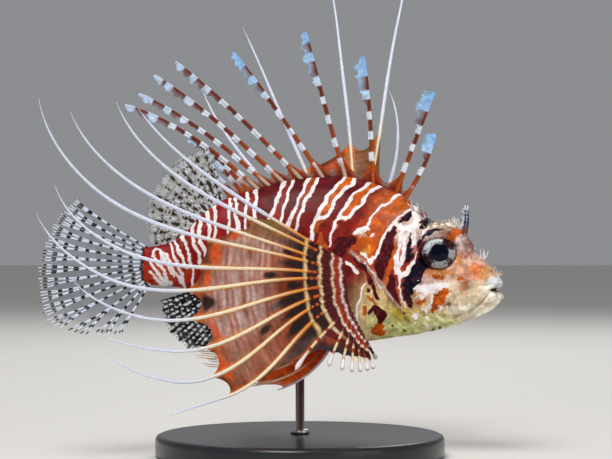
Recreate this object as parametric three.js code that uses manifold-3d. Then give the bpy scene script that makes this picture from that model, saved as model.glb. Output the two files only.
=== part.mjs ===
// A life-size display model of a spotfin lionfish in a swimming pose, held on a plain stand.
// Millimetres. +X is towards the snout, +Y is the fish's left, +Z is up.
// The origin is the middle of the stand's underside. The body is one loft along a curved
// spine, parted by thin cuts, and every fin is a sheet whose rays are ridges in its surface.
import * as THREE from "three";
import { mergeVertices } from "three/addons/utils/BufferGeometryUtils.js";
import Module from "manifold-3d";

const wasm = await Module();
wasm.setup();

// Gap kept between neighbouring pieces.
const GAP = 0.3;
const RADIANS = Math.PI / 180;

// Stand
const BASE_RADIUS = 52;
const BASE_HEIGHT = 8;
const BASE_EDGE = 1.2;
const BASE_SIDES = 32;
const ROD_RADIUS = 1.6;
const ROD_SIDES = 12;
const ROD_X = 0;

// Body: where the snout and the tail stem turn towards the fish's right, and by how much
const NECK_X = 24;
const SNOUT_SWING = -13.5;
const HEAD_LENGTH = 47;
const STEM_X = -14;
const STEM_SWING = -7.5;
const STEM_LENGTH = 41;
const RING_SIDES = 20;
const RINGS_PER_SPAN = 2;

// Cross-sections from the tail to the snout: place, back and belly heights, half width,
// height of the widest line as a share of the depth, and how square the back and belly are.
const SECTIONS = [
  { x: -56, back: 75.0, belly: 62.4, half: 1.4, waist: 0.5, upper: 2.0, lower: 2.0 },
  { x: -54, back: 75.4, belly: 61.9, half: 2.4, waist: 0.5, upper: 2.0, lower: 2.0 },
  { x: -47, back: 76.6, belly: 61.3, half: 3.4, waist: 0.5, upper: 2.0, lower: 2.0 },
  { x: -41, back: 80.5, belly: 60.2, half: 4.3, waist: 0.5, upper: 1.9, lower: 1.9 },
  { x: -35, back: 87.0, belly: 56.2, half: 5.6, waist: 0.5, upper: 1.8, lower: 1.8 },
  { x: -26, back: 93.0, belly: 51.0, half: 7.8, waist: 0.48, upper: 1.8, lower: 1.8 },
  { x: -16, back: 96.0, belly: 46.4, half: 9.8, waist: 0.46, upper: 1.8, lower: 1.9 },
  { x: -5, back: 99.0, belly: 43.0, half: 11.6, waist: 0.45, upper: 1.8, lower: 2.0 },
  { x: 6, back: 100.3, belly: 41.2, half: 12.8, waist: 0.45, upper: 1.8, lower: 2.0 },
  { x: 18, back: 100.3, belly: 40.8, half: 13.6, waist: 0.46, upper: 1.8, lower: 2.0 },
  { x: 28, back: 97.6, belly: 41.8, half: 13.8, waist: 0.46, upper: 1.8, lower: 2.0 },
  { x: 36, back: 94.4, belly: 43.2, half: 13.2, waist: 0.46, upper: 1.9, lower: 1.9 },
  { x: 42, back: 89.4, belly: 44.0, half: 12.2, waist: 0.46, upper: 2.1, lower: 1.8 },
  { x: 47, back: 84.6, belly: 44.7, half: 11.2, waist: 0.46, upper: 2.5, lower: 1.8 },
  { x: 53, back: 83.2, belly: 46.4, half: 10.0, waist: 0.44, upper: 2.8, lower: 1.8 },
  { x: 58, back: 79.6, belly: 48.2, half: 8.8, waist: 0.42, upper: 2.4, lower: 1.9 },
  { x: 62, back: 73.6, belly: 49.8, half: 7.8, waist: 0.42, upper: 2.2, lower: 2.0 },
  { x: 66, back: 69.8, belly: 51.8, half: 6.6, waist: 0.44, upper: 2.2, lower: 2.1 },
  { x: 69.4, back: 65.8, belly: 54.6, half: 5.0, waist: 0.5, upper: 2.2, lower: 2.2 },
  { x: 71.2, back: 62.6, belly: 57.6, half: 2.8, waist: 0.5, upper: 2.0, lower: 2.0 },
];

// Eyes
const EYE_X = 51.4;
const EYE_Z = 73.5;
const EYE_RADIUS = 6.4;
const EYE_DEPTH = 4.2;
const EYE_PROUD = 1;
const EYE_SIDES = 12;

// Joints between the parts of the body, and blocks large enough to cut right through it
const TRUNK_SPLIT_X = -4;
const STEM_SPLIT_X = -36;
const PAST_HEAD_X = 60;
const PAST_TAIL_X = -80;
const CUT_HALF_WIDTH = 60;
const CUT_HALF_HEIGHT = 400;
// A cut-off scrap smaller than this many cubic millimetres is not a part
const SCRAP_VOLUME = 50;

// Fins: half thickness of a membrane and of a ray's tip, how deep a root is set, how far up
// a ray its fleshy foot reaches, and how much of the room between two rays a ridge may take
const MEMBRANE_HALF = 0.27;
const TIP_HALF = 0.22;
const ROOT_SINK = 2.0;
const FLESHY_SHARE = 0.14;
const RIDGE_ROOM = 0.3;
const RIDGE_RISE = 0.05;

const paint = (color, roughness) =>
  new THREE.MeshStandardMaterial({ color, roughness, metalness: 0 });
const materials = {
  head: paint("#c98a74", 0.5),
  body: paint("#8a2420", 0.5),
  jaw: paint("#e3dcc4", 0.5),
  eye: paint("#1a1b33", 0.08),
  spine: paint("#9c4a2a", 0.5),
  pectoral: paint("#c87a48", 0.45),
  pelvic: paint("#c23a16", 0.45),
  clear: paint("#b9c0c8", 0.35),
  base: paint("#2a2b2e", 0.4),
  rod: new THREE.MeshStandardMaterial({ color: "#b9bcc0", roughness: 0.3, metalness: 1 }),
};

// Solids

function toSolid(geometry) {
  const bare = geometry.clone();
  bare.deleteAttribute("normal");
  bare.deleteAttribute("uv");
  const merged = mergeVertices(bare, 1e-4);
  const mesh = new wasm.Mesh({
    numProp: 3,
    vertProperties: new Float32Array(merged.attributes.position.array),
    triVerts: new Uint32Array(merged.index.array),
  });
  const made = new wasm.Manifold(mesh);
  if (made.volume() > 0) return made;
  const index = merged.index.array;
  for (let i = 0; i < index.length; i += 3) {
    [index[i + 1], index[i + 2]] = [index[i + 2], index[i + 1]];
  }
  mesh.triVerts = new Uint32Array(index);
  return new wasm.Manifold(mesh);
}

function largest(made) {
  const pieces = made.decompose();
  return pieces.reduce((best, piece) => (piece.volume() > best.volume() ? piece : best));
}

function toMesh(name, made, material) {
  const data = largest(made).getMesh();
  const geometry = new THREE.BufferGeometry();
  const positions = new Float32Array(data.vertProperties);
  geometry.setAttribute("position", new THREE.BufferAttribute(positions, 3));
  geometry.setIndex(new THREE.BufferAttribute(new Uint32Array(data.triVerts), 1));
  geometry.computeVertexNormals();
  const mesh = new THREE.Mesh(geometry, material);
  mesh.name = name;
  return mesh;
}

function solidFrom(points, faces) {
  const geometry = new THREE.BufferGeometry();
  const flat = points.flatMap((p) => [p.x, p.y, p.z]);
  geometry.setAttribute("position", new THREE.BufferAttribute(new Float32Array(flat), 3));
  geometry.setIndex(faces);
  return toSolid(geometry);
}

function ellipsoid(centre, sizes, turn, segments) {
  const geometry = new THREE.SphereGeometry(1, segments, Math.round(segments / 2));
  geometry.scale(sizes[0], sizes[1], sizes[2]);
  geometry.rotateZ(turn);
  geometry.translate(centre.x, centre.y, centre.z);
  return toSolid(geometry);
}

// A block that fills everything between two stations across the curved body.
function slab(xFrom, xTo) {
  const points = [];
  const faces = [];
  for (const x of [xFrom, xTo]) {
    const turn = heading(x);
    for (const [side, up] of [[-1, -1], [1, -1], [1, 1], [-1, 1]]) {
      const reach = side * CUT_HALF_WIDTH;
      const y = midline(x) + reach * Math.cos(turn);
      points.push(new THREE.Vector3(x - reach * Math.sin(turn), y, up * CUT_HALF_HEIGHT));
    }
  }
  const ends = [[0, 3, 2, 1], [4, 5, 6, 7]];
  const walls = [[0, 1, 5, 4], [2, 3, 7, 6], [1, 2, 6, 5], [3, 0, 4, 7]];
  for (const [a, b, c, d] of [...ends, ...walls]) faces.push(a, b, c, a, c, d);
  return solidFrom(points, faces);
}

// An outline drawn on the fish's side, pushed right through it from left to right.
function sideCut(outline) {
  const shape = new THREE.Shape(outline.map(([x, z]) => new THREE.Vector2(x, z)));
  const depth = 2 * CUT_HALF_WIDTH;
  const geometry = new THREE.ExtrudeGeometry(shape, { depth, bevelEnabled: false });
  geometry.rotateX(Math.PI / 2);
  geometry.translate(0, CUT_HALF_WIDTH, 0);
  return toSolid(geometry);
}

// Body

function midline(x) {
  if (x > NECK_X) return SNOUT_SWING * ((x - NECK_X) / HEAD_LENGTH) ** 1.4;
  if (x < STEM_X) return STEM_SWING * ((STEM_X - x) / STEM_LENGTH) ** 1.6;
  return 0;
}

function heading(x) {
  const step = 0.5;
  return Math.atan2(midline(x + step) - midline(x - step), 2 * step);
}

const blend = (a, b, c, d, t) => {
  const slopeB = (c - a) / 2;
  const slopeC = (d - b) / 2;
  const rise = t * t * (3 - 2 * t);
  return b + (c - b) * rise + slopeB * t * (1 - t) ** 2 - slopeC * t * t * (1 - t);
};

// The cross-section at any place between the named ones.
function sectionAt(index, t) {
  const pick = (i) => SECTIONS[Math.min(Math.max(i, 0), SECTIONS.length - 1)];
  const [a, b, c, d] = [pick(index - 1), pick(index), pick(index + 1), pick(index + 2)];
  const made = {};
  for (const key of Object.keys(b)) made[key] = blend(a[key], b[key], c[key], d[key], t);
  return made;
}

function sectionAtX(x) {
  let index = 0;
  while (index < SECTIONS.length - 2 && SECTIONS[index + 1].x <= x) index += 1;
  let low = 0;
  let high = 1;
  for (let i = 0; i < 24; i += 1) {
    const t = (low + high) / 2;
    if (sectionAt(index, t).x < x) low = t;
    else high = t;
  }
  return sectionAt(index, (low + high) / 2);
}

function ringPoint(section, angle, grow) {
  const middle = section.belly + (section.back - section.belly) * section.waist;
  const side = Math.sin(angle);
  const up = Math.cos(angle);
  const power = 2 / (up >= 0 ? section.upper : section.lower);
  const reach = (section.half + grow) * Math.sign(side) * Math.abs(side) ** power;
  const height = (up >= 0 ? section.back + grow - middle : middle - section.belly + grow);
  const turn = heading(section.x);
  return new THREE.Vector3(
    section.x - reach * Math.sin(turn),
    midline(section.x) + reach * Math.cos(turn),
    middle + height * Math.sign(up) * Math.abs(up) ** power,
  );
}

function bodyLoft(grow) {
  const rings = [];
  for (let i = 0; i < SECTIONS.length - 1; i += 1)
    for (let j = 0; j < RINGS_PER_SPAN; j += 1) rings.push(sectionAt(i, j / RINGS_PER_SPAN));
  rings.push({ ...SECTIONS[SECTIONS.length - 1] });
  rings[0].x -= grow;
  rings[rings.length - 1].x += grow;
  const points = [];
  const faces = [];
  for (const ring of rings)
    for (let k = 0; k < RING_SIDES; k += 1) {
      const angle = (k / RING_SIDES) * 2 * Math.PI;
      points.push(ringPoint(ring, angle, grow));
    }
  for (let i = 0; i < rings.length - 1; i += 1)
    for (let k = 0; k < RING_SIDES; k += 1) {
      const a = i * RING_SIDES + k;
      const b = i * RING_SIDES + ((k + 1) % RING_SIDES);
      faces.push(a, b, b + RING_SIDES, a, b + RING_SIDES, a + RING_SIDES);
    }
  for (const [first, turned] of [[0, true], [(rings.length - 1) * RING_SIDES, false]])
    for (let k = 1; k < RING_SIDES - 1; k += 1)
      faces.push(first, first + (turned ? k + 1 : k), first + (turned ? k : k + 1));
  return solidFrom(points, faces);
}

// A place on the skin, from its station and height; side is -1 for the fish's right, 1 for its left.
function onFlank(x, z, side, depth = 0) {
  const section = sectionAtX(x);
  const middle = section.belly + (section.back - section.belly) * section.waist;
  const reachUp = z >= middle ? section.back - middle : middle - section.belly;
  const power = z >= middle ? section.upper : section.lower;
  const share = Math.min(Math.abs(z - middle) / reachUp, 0.999);
  const reach = side * (section.half * (1 - share ** power) ** (1 / power) - depth);
  const turn = heading(x);
  return new THREE.Vector3(x - reach * Math.sin(turn), midline(x) + reach * Math.cos(turn), z);
}

// Fins

// A ray starts at a root and swings as it goes. start and end are its rises above straight back
// in degrees, sag dips it in its first part, late says how late it swings to its end, and
// spread and settle are its angles away from the fish's middle plane at its root and tip.
function makeRay(shape) {
  const { root, length, start, end, sag = 0, late = 3, spread = 0, settle = spread, side = 1 } = shape;
  const steps = 40;
  const path = [root.clone()];
  for (let i = 0; i < steps; i += 1) {
    const s = (i + 0.5) / steps;
    const dip = sag * Math.sin(Math.PI * Math.min(s / 0.75, 1));
    const rise = (start - dip + (end - start) * s ** late) * RADIANS;
    const out = (spread + (settle - spread) * s) * RADIANS;
    const go = new THREE.Vector3(
      -Math.cos(rise) * Math.cos(out),
      side * Math.sin(out),
      Math.sin(rise) * Math.cos(out),
    );
    path.push(path[i].clone().addScaledVector(go, length / steps));
  }
  return {
    length,
    at(s) {
      const place = Math.min(Math.max(s, 0), 1) * steps;
      const i = Math.min(Math.floor(place), steps - 1);
      return path[i].clone().lerp(path[i + 1], place - i);
    },
    along(s) {
      const i = Math.min(Math.floor(Math.min(Math.max(s, 0), 1) * steps), steps - 1);
      return path[i + 1].clone().sub(path[i]).normalize();
    },
  };
}

// A whole fin as one closed sheet with a column of membrane between two rays. A wide ray is a
// ridge three columns across and goes on alone past the membrane as a six-sided taper, which
// may carry a flag along its rear edge. A fin with narrow rays has one crest for each and
// ends at its membrane's edge.
function finSheet(rays, shape) {
  const { rows, scallop, rayHalf, rayThick, wide = true, fleshy = 0, freeSteps = 7 } = shape;
  const skin = (s) => MEMBRANE_HALF + fleshy * Math.max(0, 1 - s / FLESHY_SHARE) ** 2;
  const columns = [];
  const across = wide ? 4 : 2;
  const lastRay = rays.length - 1;
  const rowAt = (ray, j) => ray.web * (j / rows);
  const toNext = (i, s, tangent) => {
    const a = rays[Math.max(i - 1, 0)];
    const b = rays[Math.min(i + 1, lastRay)];
    const way = b.at(s * b.web).sub(a.at(s * a.web));
    return way.addScaledVector(tangent, -way.dot(tangent)).normalize();
  };
  rays.forEach((ray, i) => {
    const left = [];
    const crest = [];
    const right = [];
    for (let j = 0; j <= rows; j += 1) {
      const s = rowAt(ray, j);
      const way = toNext(i, j / rows, ray.along(s));
      const room = Math.min(
        ...[i - 1, i + 1]
          .filter((n) => n >= 0 && n <= lastRay)
          .map((n) => rays[n].at(rowAt(rays[n], j)).distanceTo(ray.at(s)) * RIDGE_ROOM),
      );
      const half = Math.min(rayHalf(s, ray), room);
      const at = ray.at(s);
      left.push({ at: at.clone().addScaledVector(way, -half), thick: skin(s) });
      crest.push({ at, thick: Math.max(rayThick(s, ray), skin(s) + RIDGE_RISE) });
      right.push({ at: at.clone().addScaledVector(way, half), thick: skin(s) });
    }
    if (wide) columns.push(left, crest, right);
    else columns.push(crest);
    if (i === lastRay) return;
    const next = rays[i + 1];
    const web = [];
    for (let j = 0; j <= rows; j += 1) {
      const pull = (j / rows) * (1 - scallop * (j / rows));
      const middle = ray.at(ray.web * pull).lerp(next.at(next.web * pull), 0.5);
      web.push({ at: middle, thick: skin(ray.web * pull) });
    }
    columns.push(web);
  });

  const points = [];
  const faces = [];
  const place = (point) => points.push(point) - 1;
  const within = (n, last) => Math.min(Math.max(n, 0), last);
  const at = (c, j) => columns[within(c, columns.length - 1)][within(j, rows)].at;
  const grid = columns.map((column, c) =>
    column.map((cell, j) => {
      const over = at(c + 1, j).clone().sub(at(c - 1, j));
      const along = at(c, j + 1).clone().sub(at(c, j - 1));
      const normal = over.cross(along).normalize();
      return {
        normal,
        front: place(cell.at.clone().addScaledVector(normal, cell.thick)),
        back: place(cell.at.clone().addScaledVector(normal, -cell.thick)),
      };
    }),
  );
  const quad = (a, b, c, d) => faces.push(a, b, c, a, c, d);
  for (let c = 0; c < columns.length - 1; c += 1) {
    for (let j = 0; j < rows; j += 1) {
      const [p, q, r, s] = [grid[c][j], grid[c + 1][j], grid[c + 1][j + 1], grid[c][j + 1]];
      quad(p.front, q.front, r.front, s.front);
      faces.push(p.back, r.back, q.back, p.back, s.back, r.back);
    }
    quad(grid[c][0].back, grid[c + 1][0].back, grid[c + 1][0].front, grid[c][0].front);
    const overRay = c % across < 2;
    if (!wide || !overRay)
      quad(grid[c][rows].front, grid[c + 1][rows].front, grid[c + 1][rows].back, grid[c][rows].back);
  }
  for (let j = 0; j < rows; j += 1) {
    const [p, q] = [grid[0][j], grid[0][j + 1]];
    quad(p.back, p.front, q.front, q.back);
    const [r, s] = [grid[columns.length - 1][j], grid[columns.length - 1][j + 1]];
    quad(r.front, r.back, s.back, s.front);
  }

  if (!wide) return solidFrom(points, faces);
  rays.forEach((ray, i) => {
    const [left, crest, right] = [0, 1, 2].map((n) => grid[across * i + n][rows]);
    let ring = [left.front, crest.front, right.front, right.back, crest.back, left.back];
    const steps = ray.freeSteps ?? freeSteps;
    const way = toNext(i, 1, ray.along(ray.web));
    const facing = crest.normal.clone();
    for (let k = 1; k < steps; k += 1) {
      const s = ray.web + (1 - ray.web) * (k / steps);
      const tangent = ray.along(s);
      facing.addScaledVector(tangent, -facing.dot(tangent)).normalize();
      way.crossVectors(tangent, facing).normalize();
      const half = Math.max(rayHalf(s, ray), TIP_HALF);
      const thick = Math.max(rayThick(s, ray), TIP_HALF);
      const edge = thick * 0.55;
      const rear = half + (ray.flag ? ray.flag(s) : 0);
      const middle = ray.at(s);
      const corner = (along, off) =>
        place(middle.clone().addScaledVector(way, along).addScaledVector(facing, off));
      const made = [
        corner(-half, edge),
        corner(0, thick),
        corner(rear, edge),
        corner(rear, -edge),
        corner(0, -thick),
        corner(-half, -edge),
      ];
      for (let n = 0; n < 6; n += 1) quad(ring[n], ring[(n + 1) % 6], made[(n + 1) % 6], made[n]);
      ring = made;
    }
    const tip = place(ray.at(1));
    for (let n = 0; n < 6; n += 1) faces.push(ring[n], ring[(n + 1) % 6], tip);
  });
  return solidFrom(points, faces);
}

const mix = (a, b, t) => a + (b - a) * t;

// A value picked from a short list by a share from 0 to 1, smoothly between entries.
function pick(list, share) {
  const place = share * (list.length - 1);
  const i = Math.min(Math.floor(place), list.length - 2);
  return mix(list[i], list[i + 1], place - i);
}

// Pectoral fins: seventeen rays on an upright base behind the gill cover, from the top ray down.
// The first ten trail as long free threads and the last seven are short and thick, with a knob.
const PECTORAL_TOP = { x: 17.5, z: 69 };
const PECTORAL_LOW = { x: 22, z: 45.5 };
const PECTORAL_WEB = [
  0.36, 0.43, 0.41, 0.42, 0.5, 0.52, 0.6, 0.63, 0.61,
  0.72, 0.84, 0.8, 0.78, 0.76, 0.76, 0.76, 0.76,
];
const THREAD_COUNT = 10;
const KNOB_FROM = 0.8;
const KNOB_SWELL = 2;
const RIGHT_POSE = {
  side: -1,
  length: [96, 106, 120, 137, 120, 126, 109, 99, 105, 85, 35, 25, 23, 21, 19, 17, 15],
  start: [31, 29, 22, 20, 14, 12, 5, 1, -3, -11, -42, -60, -71, -80, -88, -96, -104],
  end: [56, 70, 70, 82, 74, 68, 54, 30, 45, -20, -58, -74, -84, -92, -100, -108, -116],
  sag: [0, 4, 4, 9, 13, 20, 22, 30, 38, 37, 0, 0, 0, 0, 0, 0, 0],
  late: [3.5, 4, 4, 3.5, 5, 4.5, 5.5, 6, 4, 2.5, 2, 2, 2, 2, 2, 2, 2],
  spread: [24, 27, 29, 31, 33, 34, 34, 34, 33, 32, 30, 28, 26, 24, 22, 21, 20],
  settle: [12, 12, 12, 12, 12, 12, 12, 12, 12, 14, 26, 24, 22, 20, 18, 17, 16],
};
const LEFT_POSE = {
  side: 1,
  length: [71, 135, 132, 125, 120, 108, 100, 94, 92, 80, 34, 21, 18, 17, 16, 15, 14],
  start: [122, 112, 100, 70, 48, 30, 15, 3, -8, -20, -36, -52, -66, -80, -92, -104, -115],
  end: [67, 99, 79, 65, 71, 56, 44, 34, 26, 8, -44, -62, -78, -92, -104, -114, -124],
  sag: [0, 8, 6, 3, 0, 4, 6, 8, 10, 10, 0, 0, 0, 0, 0, 0, 0],
  late: [2, 1, 1, 2.5, 4.5, 4, 4, 4, 4, 4, 2, 2, 2, 2, 2, 2, 2],
  spread: [16, 24, 30, 38, 42, 46, 50, 52, 52, 50, 46, 42, 37, 33, 30, 27, 25],
  settle: [10, 14, 20, 28, 34, 36, 36, 36, 36, 36, 40, 36, 32, 28, 26, 24, 22],
};

function pectoralFin(pose) {
  const count = PECTORAL_WEB.length;
  const rays = [];
  for (let i = 0; i < count; i += 1) {
    const down = i / (count - 1);
    const x = mix(PECTORAL_TOP.x, PECTORAL_LOW.x, down ** 2);
    const z = mix(PECTORAL_TOP.z, PECTORAL_LOW.z, down ** 1.15);
    const ray = makeRay({
      root: onFlank(x, z, pose.side, ROOT_SINK),
      length: pose.length[i],
      start: pose.start[i],
      end: pose.end[i],
      sag: pose.sag[i],
      late: pose.late[i],
      spread: pose.spread[i],
      settle: pose.settle[i],
      side: pose.side,
    });
    ray.web = PECTORAL_WEB[i];
    ray.stout = i >= THREAD_COUNT;
    ray.freeSteps = ray.stout ? 3 : 7;
    rays.push(ray);
  }
  const knob = (s) => 1 + KNOB_SWELL * Math.max(0, s - KNOB_FROM);
  return finSheet(rays, {
    rows: 5,
    scallop: 0.12,
    fleshy: 0.9,
    rayHalf: (s, ray) => (ray.stout ? 0.75 * knob(s) : mix(0.8, 0.26, s ** 0.7)),
    rayThick: (s, ray) => (ray.stout ? 0.8 * knob(s) : mix(1.1, 0.26, s ** 0.5)),
  });
}

// Spiny dorsal fin: thirteen spines with a low web between their feet and a flag near each tip.
const SPINE_FOOT_X = [37.2, 34.2, 26.4, 17, 9.4, 2, -4.6, -9.6, -13.6, -17, -19.6, -22, -24.2];
const SPINE_LENGTH = [25, 38, 46, 54, 56, 62, 61, 59, 58, 30, 15, 10, 14];
const SPINE_START = [124, 110, 89, 74, 57, 47, 45, 43, 43, 50, 55, 52, 60];
const SPINE_END = [104, 112, 82, 76, 52, 38, 33, 25, 18, 33, 48, 46, 54];
const SPINE_LEAN = [3, -4, 2, -3, 4, -3, 3, 7, 5, 7, 6, 4, 2];
// The web climbs this share of a spine and 3 mm more, but half way up the short rear spines
const SPINE_WEB = 0.13;
const SHORT_SPINE = 20;
const SHORT_WEB = 0.5;
// A narrow edge runs along the rear of each spine and swells to the flag from this share on
const SPINE_EDGE = 0.45;
const FLAG_FROM = 0.62;
const FLAG_SHARE = 0.45;
const SPINE_FLAG = [2.6, 2.8, 2.4, 1.8, 1.2, 1, 0.9, 0.8, 0.8, 0.7, 0.4, 0.3, 0.3];

function spinyDorsal() {
  const rays = SPINE_FOOT_X.map((x, i) => {
    const section = sectionAtX(x);
    const root = new THREE.Vector3(x, midline(x), section.back - ROOT_SINK);
    const ray = makeRay({
      root,
      length: SPINE_LENGTH[i] + ROOT_SINK,
      start: SPINE_START[i],
      end: SPINE_END[i],
      late: 1.5,
      spread: SPINE_LEAN[i],
    });
    const long = SPINE_LENGTH[i] > SHORT_SPINE;
    ray.web = long ? SPINE_WEB + 3 / SPINE_LENGTH[i] : SHORT_WEB;
    ray.flag = (s) => {
      const share = Math.min(Math.max((s - FLAG_FROM) / FLAG_SHARE, 0), 1);
      return SPINE_EDGE + SPINE_FLAG[i] * Math.sin(Math.PI * share);
    };
    ray.freeSteps = long ? 6 : 3;
    return ray;
  });
  return finSheet(rays, {
    rows: 2,
    scallop: 0.3,
    rayHalf: (s) => mix(1.1, 0.4, s),
    rayThick: (s) => mix(0.9, 0.3, s),
  });
}

// A fan of rays set along a stretch of the body's middle line, from front to rear.
function medianFan({ count, feet, heights, lengths, starts, turns, spreads, rows }) {
  const rays = [];
  for (let i = 0; i < count; i += 1) {
    const share = i / (count - 1);
    const x = pick(feet, share);
    const start = pick(starts, share);
    const spread = pick(spreads, share);
    const ray = makeRay({
      root: new THREE.Vector3(x, midline(x), pick(heights, share)),
      length: pick(lengths, share),
      start,
      end: start + pick(turns, share),
      late: 1.5,
      spread,
      settle: spread,
      side: -1,
    });
    ray.web = 1;
    rays.push(ray);
  }
  return finSheet(rays, {
    rows,
    scallop: 0.06,
    rayHalf: () => 0,
    rayThick: (s) => mix(0.5, 0.34, s),
    wide: false,
  });
}

// A tapered skin flap or small spine of the head, four sides round
function flap(side, { x, z, sink, size, start, end, lean, half, thick, steps = 2 }) {
  const root = onFlank(x, z, side, sink);
  const ray = makeRay({ root, length: size, start, end, late: 1, spread: lean, side });
  const points = [];
  const faces = [];
  const facing = new THREE.Vector3(0, 1, 0);
  for (let k = 0; k < steps; k += 1) {
    const s = k / steps;
    const along = ray.along(s);
    const across = new THREE.Vector3().crossVectors(along, facing).normalize();
    const off = new THREE.Vector3().crossVectors(across, along).normalize();
    const width = half * (1 - 0.75 * s);
    const depth = thick * (1 - 0.6 * s);
    for (const [a, b] of [[1, 0], [0, 1], [-1, 0], [0, -1]])
      points.push(ray.at(s).addScaledVector(across, a * width).addScaledVector(off, b * depth));
  }
  points.push(ray.at(1));
  const tip = points.length - 1;
  for (let k = 0; k < steps - 1; k += 1)
    for (let n = 0; n < 4; n += 1) {
      const a = 4 * k + n;
      const b = 4 * k + ((n + 1) % 4);
      faces.push(a, b, b + 4, a, b + 4, a + 4);
    }
  const lastRing = 4 * (steps - 1);
  for (let n = 0; n < 4; n += 1) faces.push(lastRing + n, lastRing + ((n + 1) % 4), tip);
  faces.push(0, 2, 1, 0, 3, 2);
  return solidFrom(points, faces);
}

// A rounded bar through a few places, pointed at both ends, for lips and bony ridges
function bar(places, radius, steps = 6) {
  const curve = new THREE.CatmullRomCurve3(places);
  const sides = 5;
  const points = [curve.getPoint(0)];
  const faces = [];
  for (let k = 1; k < steps; k += 1) {
    const s = k / steps;
    const along = curve.getTangent(s);
    const over = new THREE.Vector3(0, 0, 1).cross(along).normalize();
    const off = new THREE.Vector3().crossVectors(along, over);
    const size = radius * Math.sin(Math.PI * s) ** 0.4;
    for (let n = 0; n < sides; n += 1) {
      const angle = (n / sides) * 2 * Math.PI;
      const corner = curve.getPoint(s).addScaledVector(over, size * Math.cos(angle));
      points.push(corner.addScaledVector(off, size * Math.sin(angle)));
    }
  }
  points.push(curve.getPoint(1));
  const last = points.length - 1;
  for (let n = 0; n < sides; n += 1) {
    const next = (n + 1) % sides;
    faces.push(0, 1 + next, 1 + n);
    faces.push(last, last - sides + n, last - sides + next);
    for (let k = 0; k < steps - 2; k += 1) {
      const a = 1 + k * sides + n;
      const b = 1 + k * sides + next;
      faces.push(a, b, b + sides, a, b + sides, a + sides);
    }
  }
  return solidFrom(points, faces);
}

const group = new THREE.Group();
const body = bodyLoft(0);
const clearance = bodyLoft(GAP + 0.05);

// Outlines drawn on the fish's side: the gill opening, the mouth line and the gill cover
const GILL_EDGE = [
  [36.5, 99], [29, 88], [22, 80], [20.5, 73], [24, 66], [30, 59], [35, 53], [41, 47], [46, 40],
];
const FRONT_BOX = [[90, 30], [90, 110], [38, 110]];
const LOWER_LIP = [
  [80, 59.2], [70.6, 59.2], [68.8, 59.3], [65.9, 55.3], [61.8, 52.3], [55.7, 50.4], [50.2, 51.4],
];
const UPPER_LIP = [
  [80, 62], [70.6, 61.4], [68.5, 59.7], [65.7, 55.7], [61.6, 52.7], [55.6, 50.8], [49.8, 51.8],
];
const UPPER_LIP_LINE = [
  [69.2, 61.4], [68.2, 59.4], [65.6, 55.4], [61.6, 52.6], [56, 50.8], [51.4, 52.2],
];
const LOWER_LIP_LINE = [[69.6, 59], [68.4, 58.4], [66, 54.8], [62, 51.8], [56.4, 50]];
const JAW_REST = [[47, 46.5], [45.6, 30], [80, 30]];
const JAW_REST_GROWN = [[46.7, 46.6], [45.3, 30], [80, 30]];
const COVER = [
  [24.5, 83.5], [18, 81], [16, 73], [20, 64], [28, 57], [34, 51.6],
  [38.4, 49.6], [41.6, 53], [40, 59], [38.2, 66], [37.2, 74], [33.5, 82],
];
const COVER_DEPTH = 2.4;

const headPrism = sideCut([...GILL_EDGE, ...FRONT_BOX]);
const headPrismGrown = sideCut([...GILL_EDGE.map(([x, z]) => [x - GAP, z]), ...FRONT_BOX]);
const jawPrism = sideCut([...LOWER_LIP, ...JAW_REST]);
const jawPrismGrown = sideCut([...UPPER_LIP, ...JAW_REST_GROWN]);

function grownOutline(outline, grow) {
  const cx = outline.reduce((sum, [x]) => sum + x, 0) / outline.length;
  const cz = outline.reduce((sum, [, z]) => sum + z, 0) / outline.length;
  return outline.map(([x, z]) => {
    const reach = Math.hypot(x - cx, z - cz);
    return [x + (grow * (x - cx)) / reach, z + (grow * (z - cz)) / reach];
  });
}

// A bar along a line of the head's skin on one side, standing out by about its radius
function skinBar(side, line, radius, sink) {
  return bar(line.map(([x, z]) => onFlank(x, z, side, sink)), radius);
}

// A lip runs round the whole snout, from one corner of the mouth to the other
function lip(line, lift, frontX, radius) {
  const oneSide = (side) => line.map(([x, z]) => onFlank(x, z + lift, side, 0.4));
  const [, frontZ] = line[0];
  const front = new THREE.Vector3(frontX, midline(frontX), frontZ + lift);
  return bar([...oneSide(-1).reverse(), front, ...oneSide(1)], radius, 12);
}

const eyeCentre = (side) => {
  const turn = heading(EYE_X);
  const half = sectionAtX(EYE_X).half;
  const reach = side * (half + EYE_PROUD - EYE_DEPTH);
  return new THREE.Vector3(EYE_X - reach * Math.sin(turn), midline(EYE_X) + reach * Math.cos(turn), EYE_Z);
};

// Ridges and pits of the head, and the size of the raised rim round each eye
const BROW_LINE = [[60, 75.6], [57.5, 80], [53, 82], [48, 81.4], [44, 79]];
const CHEEK_RIDGE = [[64, 66.5], [58, 66], [51, 65], [47, 64], [43.4, 63]];
const NOSTRILS = [[63.2, 69.2], [60.8, 71.8]];
const NOSTRIL_SIZE = [0.6, 0.9, 0.6];
const RIM_SIZE = [EYE_RADIUS + 1.3, EYE_DEPTH - 0.1, EYE_RADIUS + 1.3];

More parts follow.
